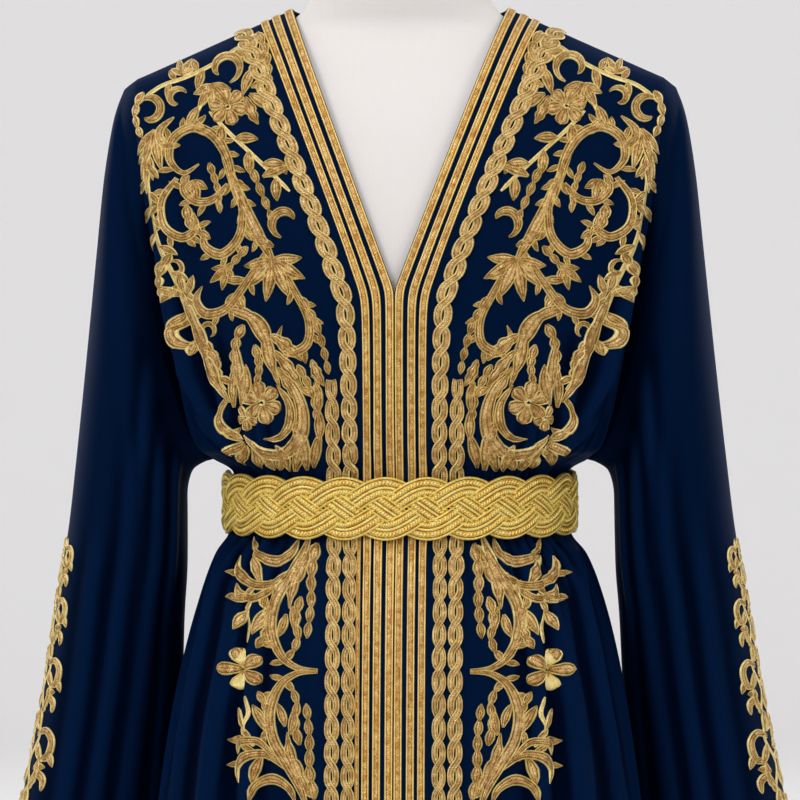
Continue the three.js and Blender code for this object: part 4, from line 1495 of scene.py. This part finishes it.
makeHems()
print("hems stitched")
studio = {"cameraHeight": 1.140, "cameraDistance": 3.3, "frameWidth": 0.656, "azimuth": 2.2, "sensor": 36,
          "radius": 13.0, "height": 11.0, "curve": 3.0, "sides": 96, "steps": 14, "paper": (0.80, 0.792, 0.797, 1),
          "sky": (1.0, 0.995, 1.0, 1), "skyStrength": 0.6}
lights = [
    # name, place, aim, size, power
    ("key", (-1.9, -2.9, 2.9), (0, 0, 1.2), (1.3, 1.3), 50),
    ("fill", (2.4, -2.6, 1.9), (0, 0, 1.1), (1.6, 1.6), 21),
    ("top", (0, -0.6, 3.6), (0, 0, 1.2), (1.4, 1.0), 14),
    ("rimLeft", (-2.0, 1.9, 2.0), (0, 0, 1.2), (0.8, 1.6), 14),
    ("wallLeft", (-3.4, 4.6, 3.8), (-1.2, 13, 1.4), (2.0, 2.0), 150),
    ("wallRight", (3.4, 4.6, 3.8), (1.2, 13, 1.4), (2.0, 2.0), 150),
    ("rimRight", (2.0, 1.9, 2.0), (0, 0, 1.2), (0.8, 1.6), 14),
]


def makeCamera():
    data = bpy.data.cameras.new("camera")
    camera = addObject("camera", data)
    angle = math.radians(studio["azimuth"])
    reach = studio["cameraDistance"]
    camera.location = (math.sin(angle) * reach, -math.cos(angle) * reach, studio["cameraHeight"])
    camera.rotation_euler = (math.pi / 2, 0, angle)
    data.sensor_width = studio["sensor"]
    data.lens = studio["sensor"] * reach / studio["frameWidth"]
    data.clip_end = 60
    bpy.context.scene.camera = camera


def areaLight(name, place, target, size, power):
    data = bpy.data.lights.new(name, "AREA")
    data.shape = "RECTANGLE"
    data.size, data.size_y = size
    data.energy = power
    light = addObject(name, data)
    light.location = place
    light.rotation_euler = (Vector(target) - Vector(place)).to_track_quat("-Z", "Y").to_euler()


def makeBackdrop():
    # A floor that curves up into a wall all round, so that every side is seen against it.
    radius, height, curve, sides, steps = [studio[key] for key in ("radius", "height", "curve", "sides", "steps")]
    bend = math.pi / 2 * np.arange(1, steps + 1) / steps
    reach = np.concatenate([[radius - curve], radius - curve + curve * np.sin(bend), [radius]])
    level = np.concatenate([[0], curve - curve * np.cos(bend), [height]])
    turn = 2 * math.pi * np.arange(sides) / sides
    rings = np.stack([reach[:, None] * np.cos(turn), reach[:, None] * np.sin(turn), level[:, None] + 0 * turn], axis=-1)
    vertices = np.concatenate([[[0, 0, 0]], rings.reshape(-1, 3)]) - np.array([0, 0, 0.0005])
    faces = [[0, 1 + j, 1 + (j + 1) % sides] for j in range(sides)]
    faces += gridFaces(len(rings), sides, True, 1, True).tolist()
    look = {"Base Color": studio["paper"], "Roughness": 0.95, "Specular IOR Level": 0.1}
    paper = Finish("backdrop_paper").shade(look)
    makeObject("backdrop", vertices / millimetre, faces, paper, sharp=0)


def makeWorld():
    world = bpy.data.worlds.new("studio")
    world.use_nodes = True
    sky = world.node_tree.nodes["Background"]
    sky.inputs[0].default_value = studio["sky"]
    sky.inputs[1].default_value = studio["skyStrength"]
    bpy.context.scene.world = world


makeCamera()
makeWorld()
makeBackdrop()
for light in lights:
    areaLight(*light)
bpy.context.scene.view_settings.view_transform = "Standard"
print("studio set")
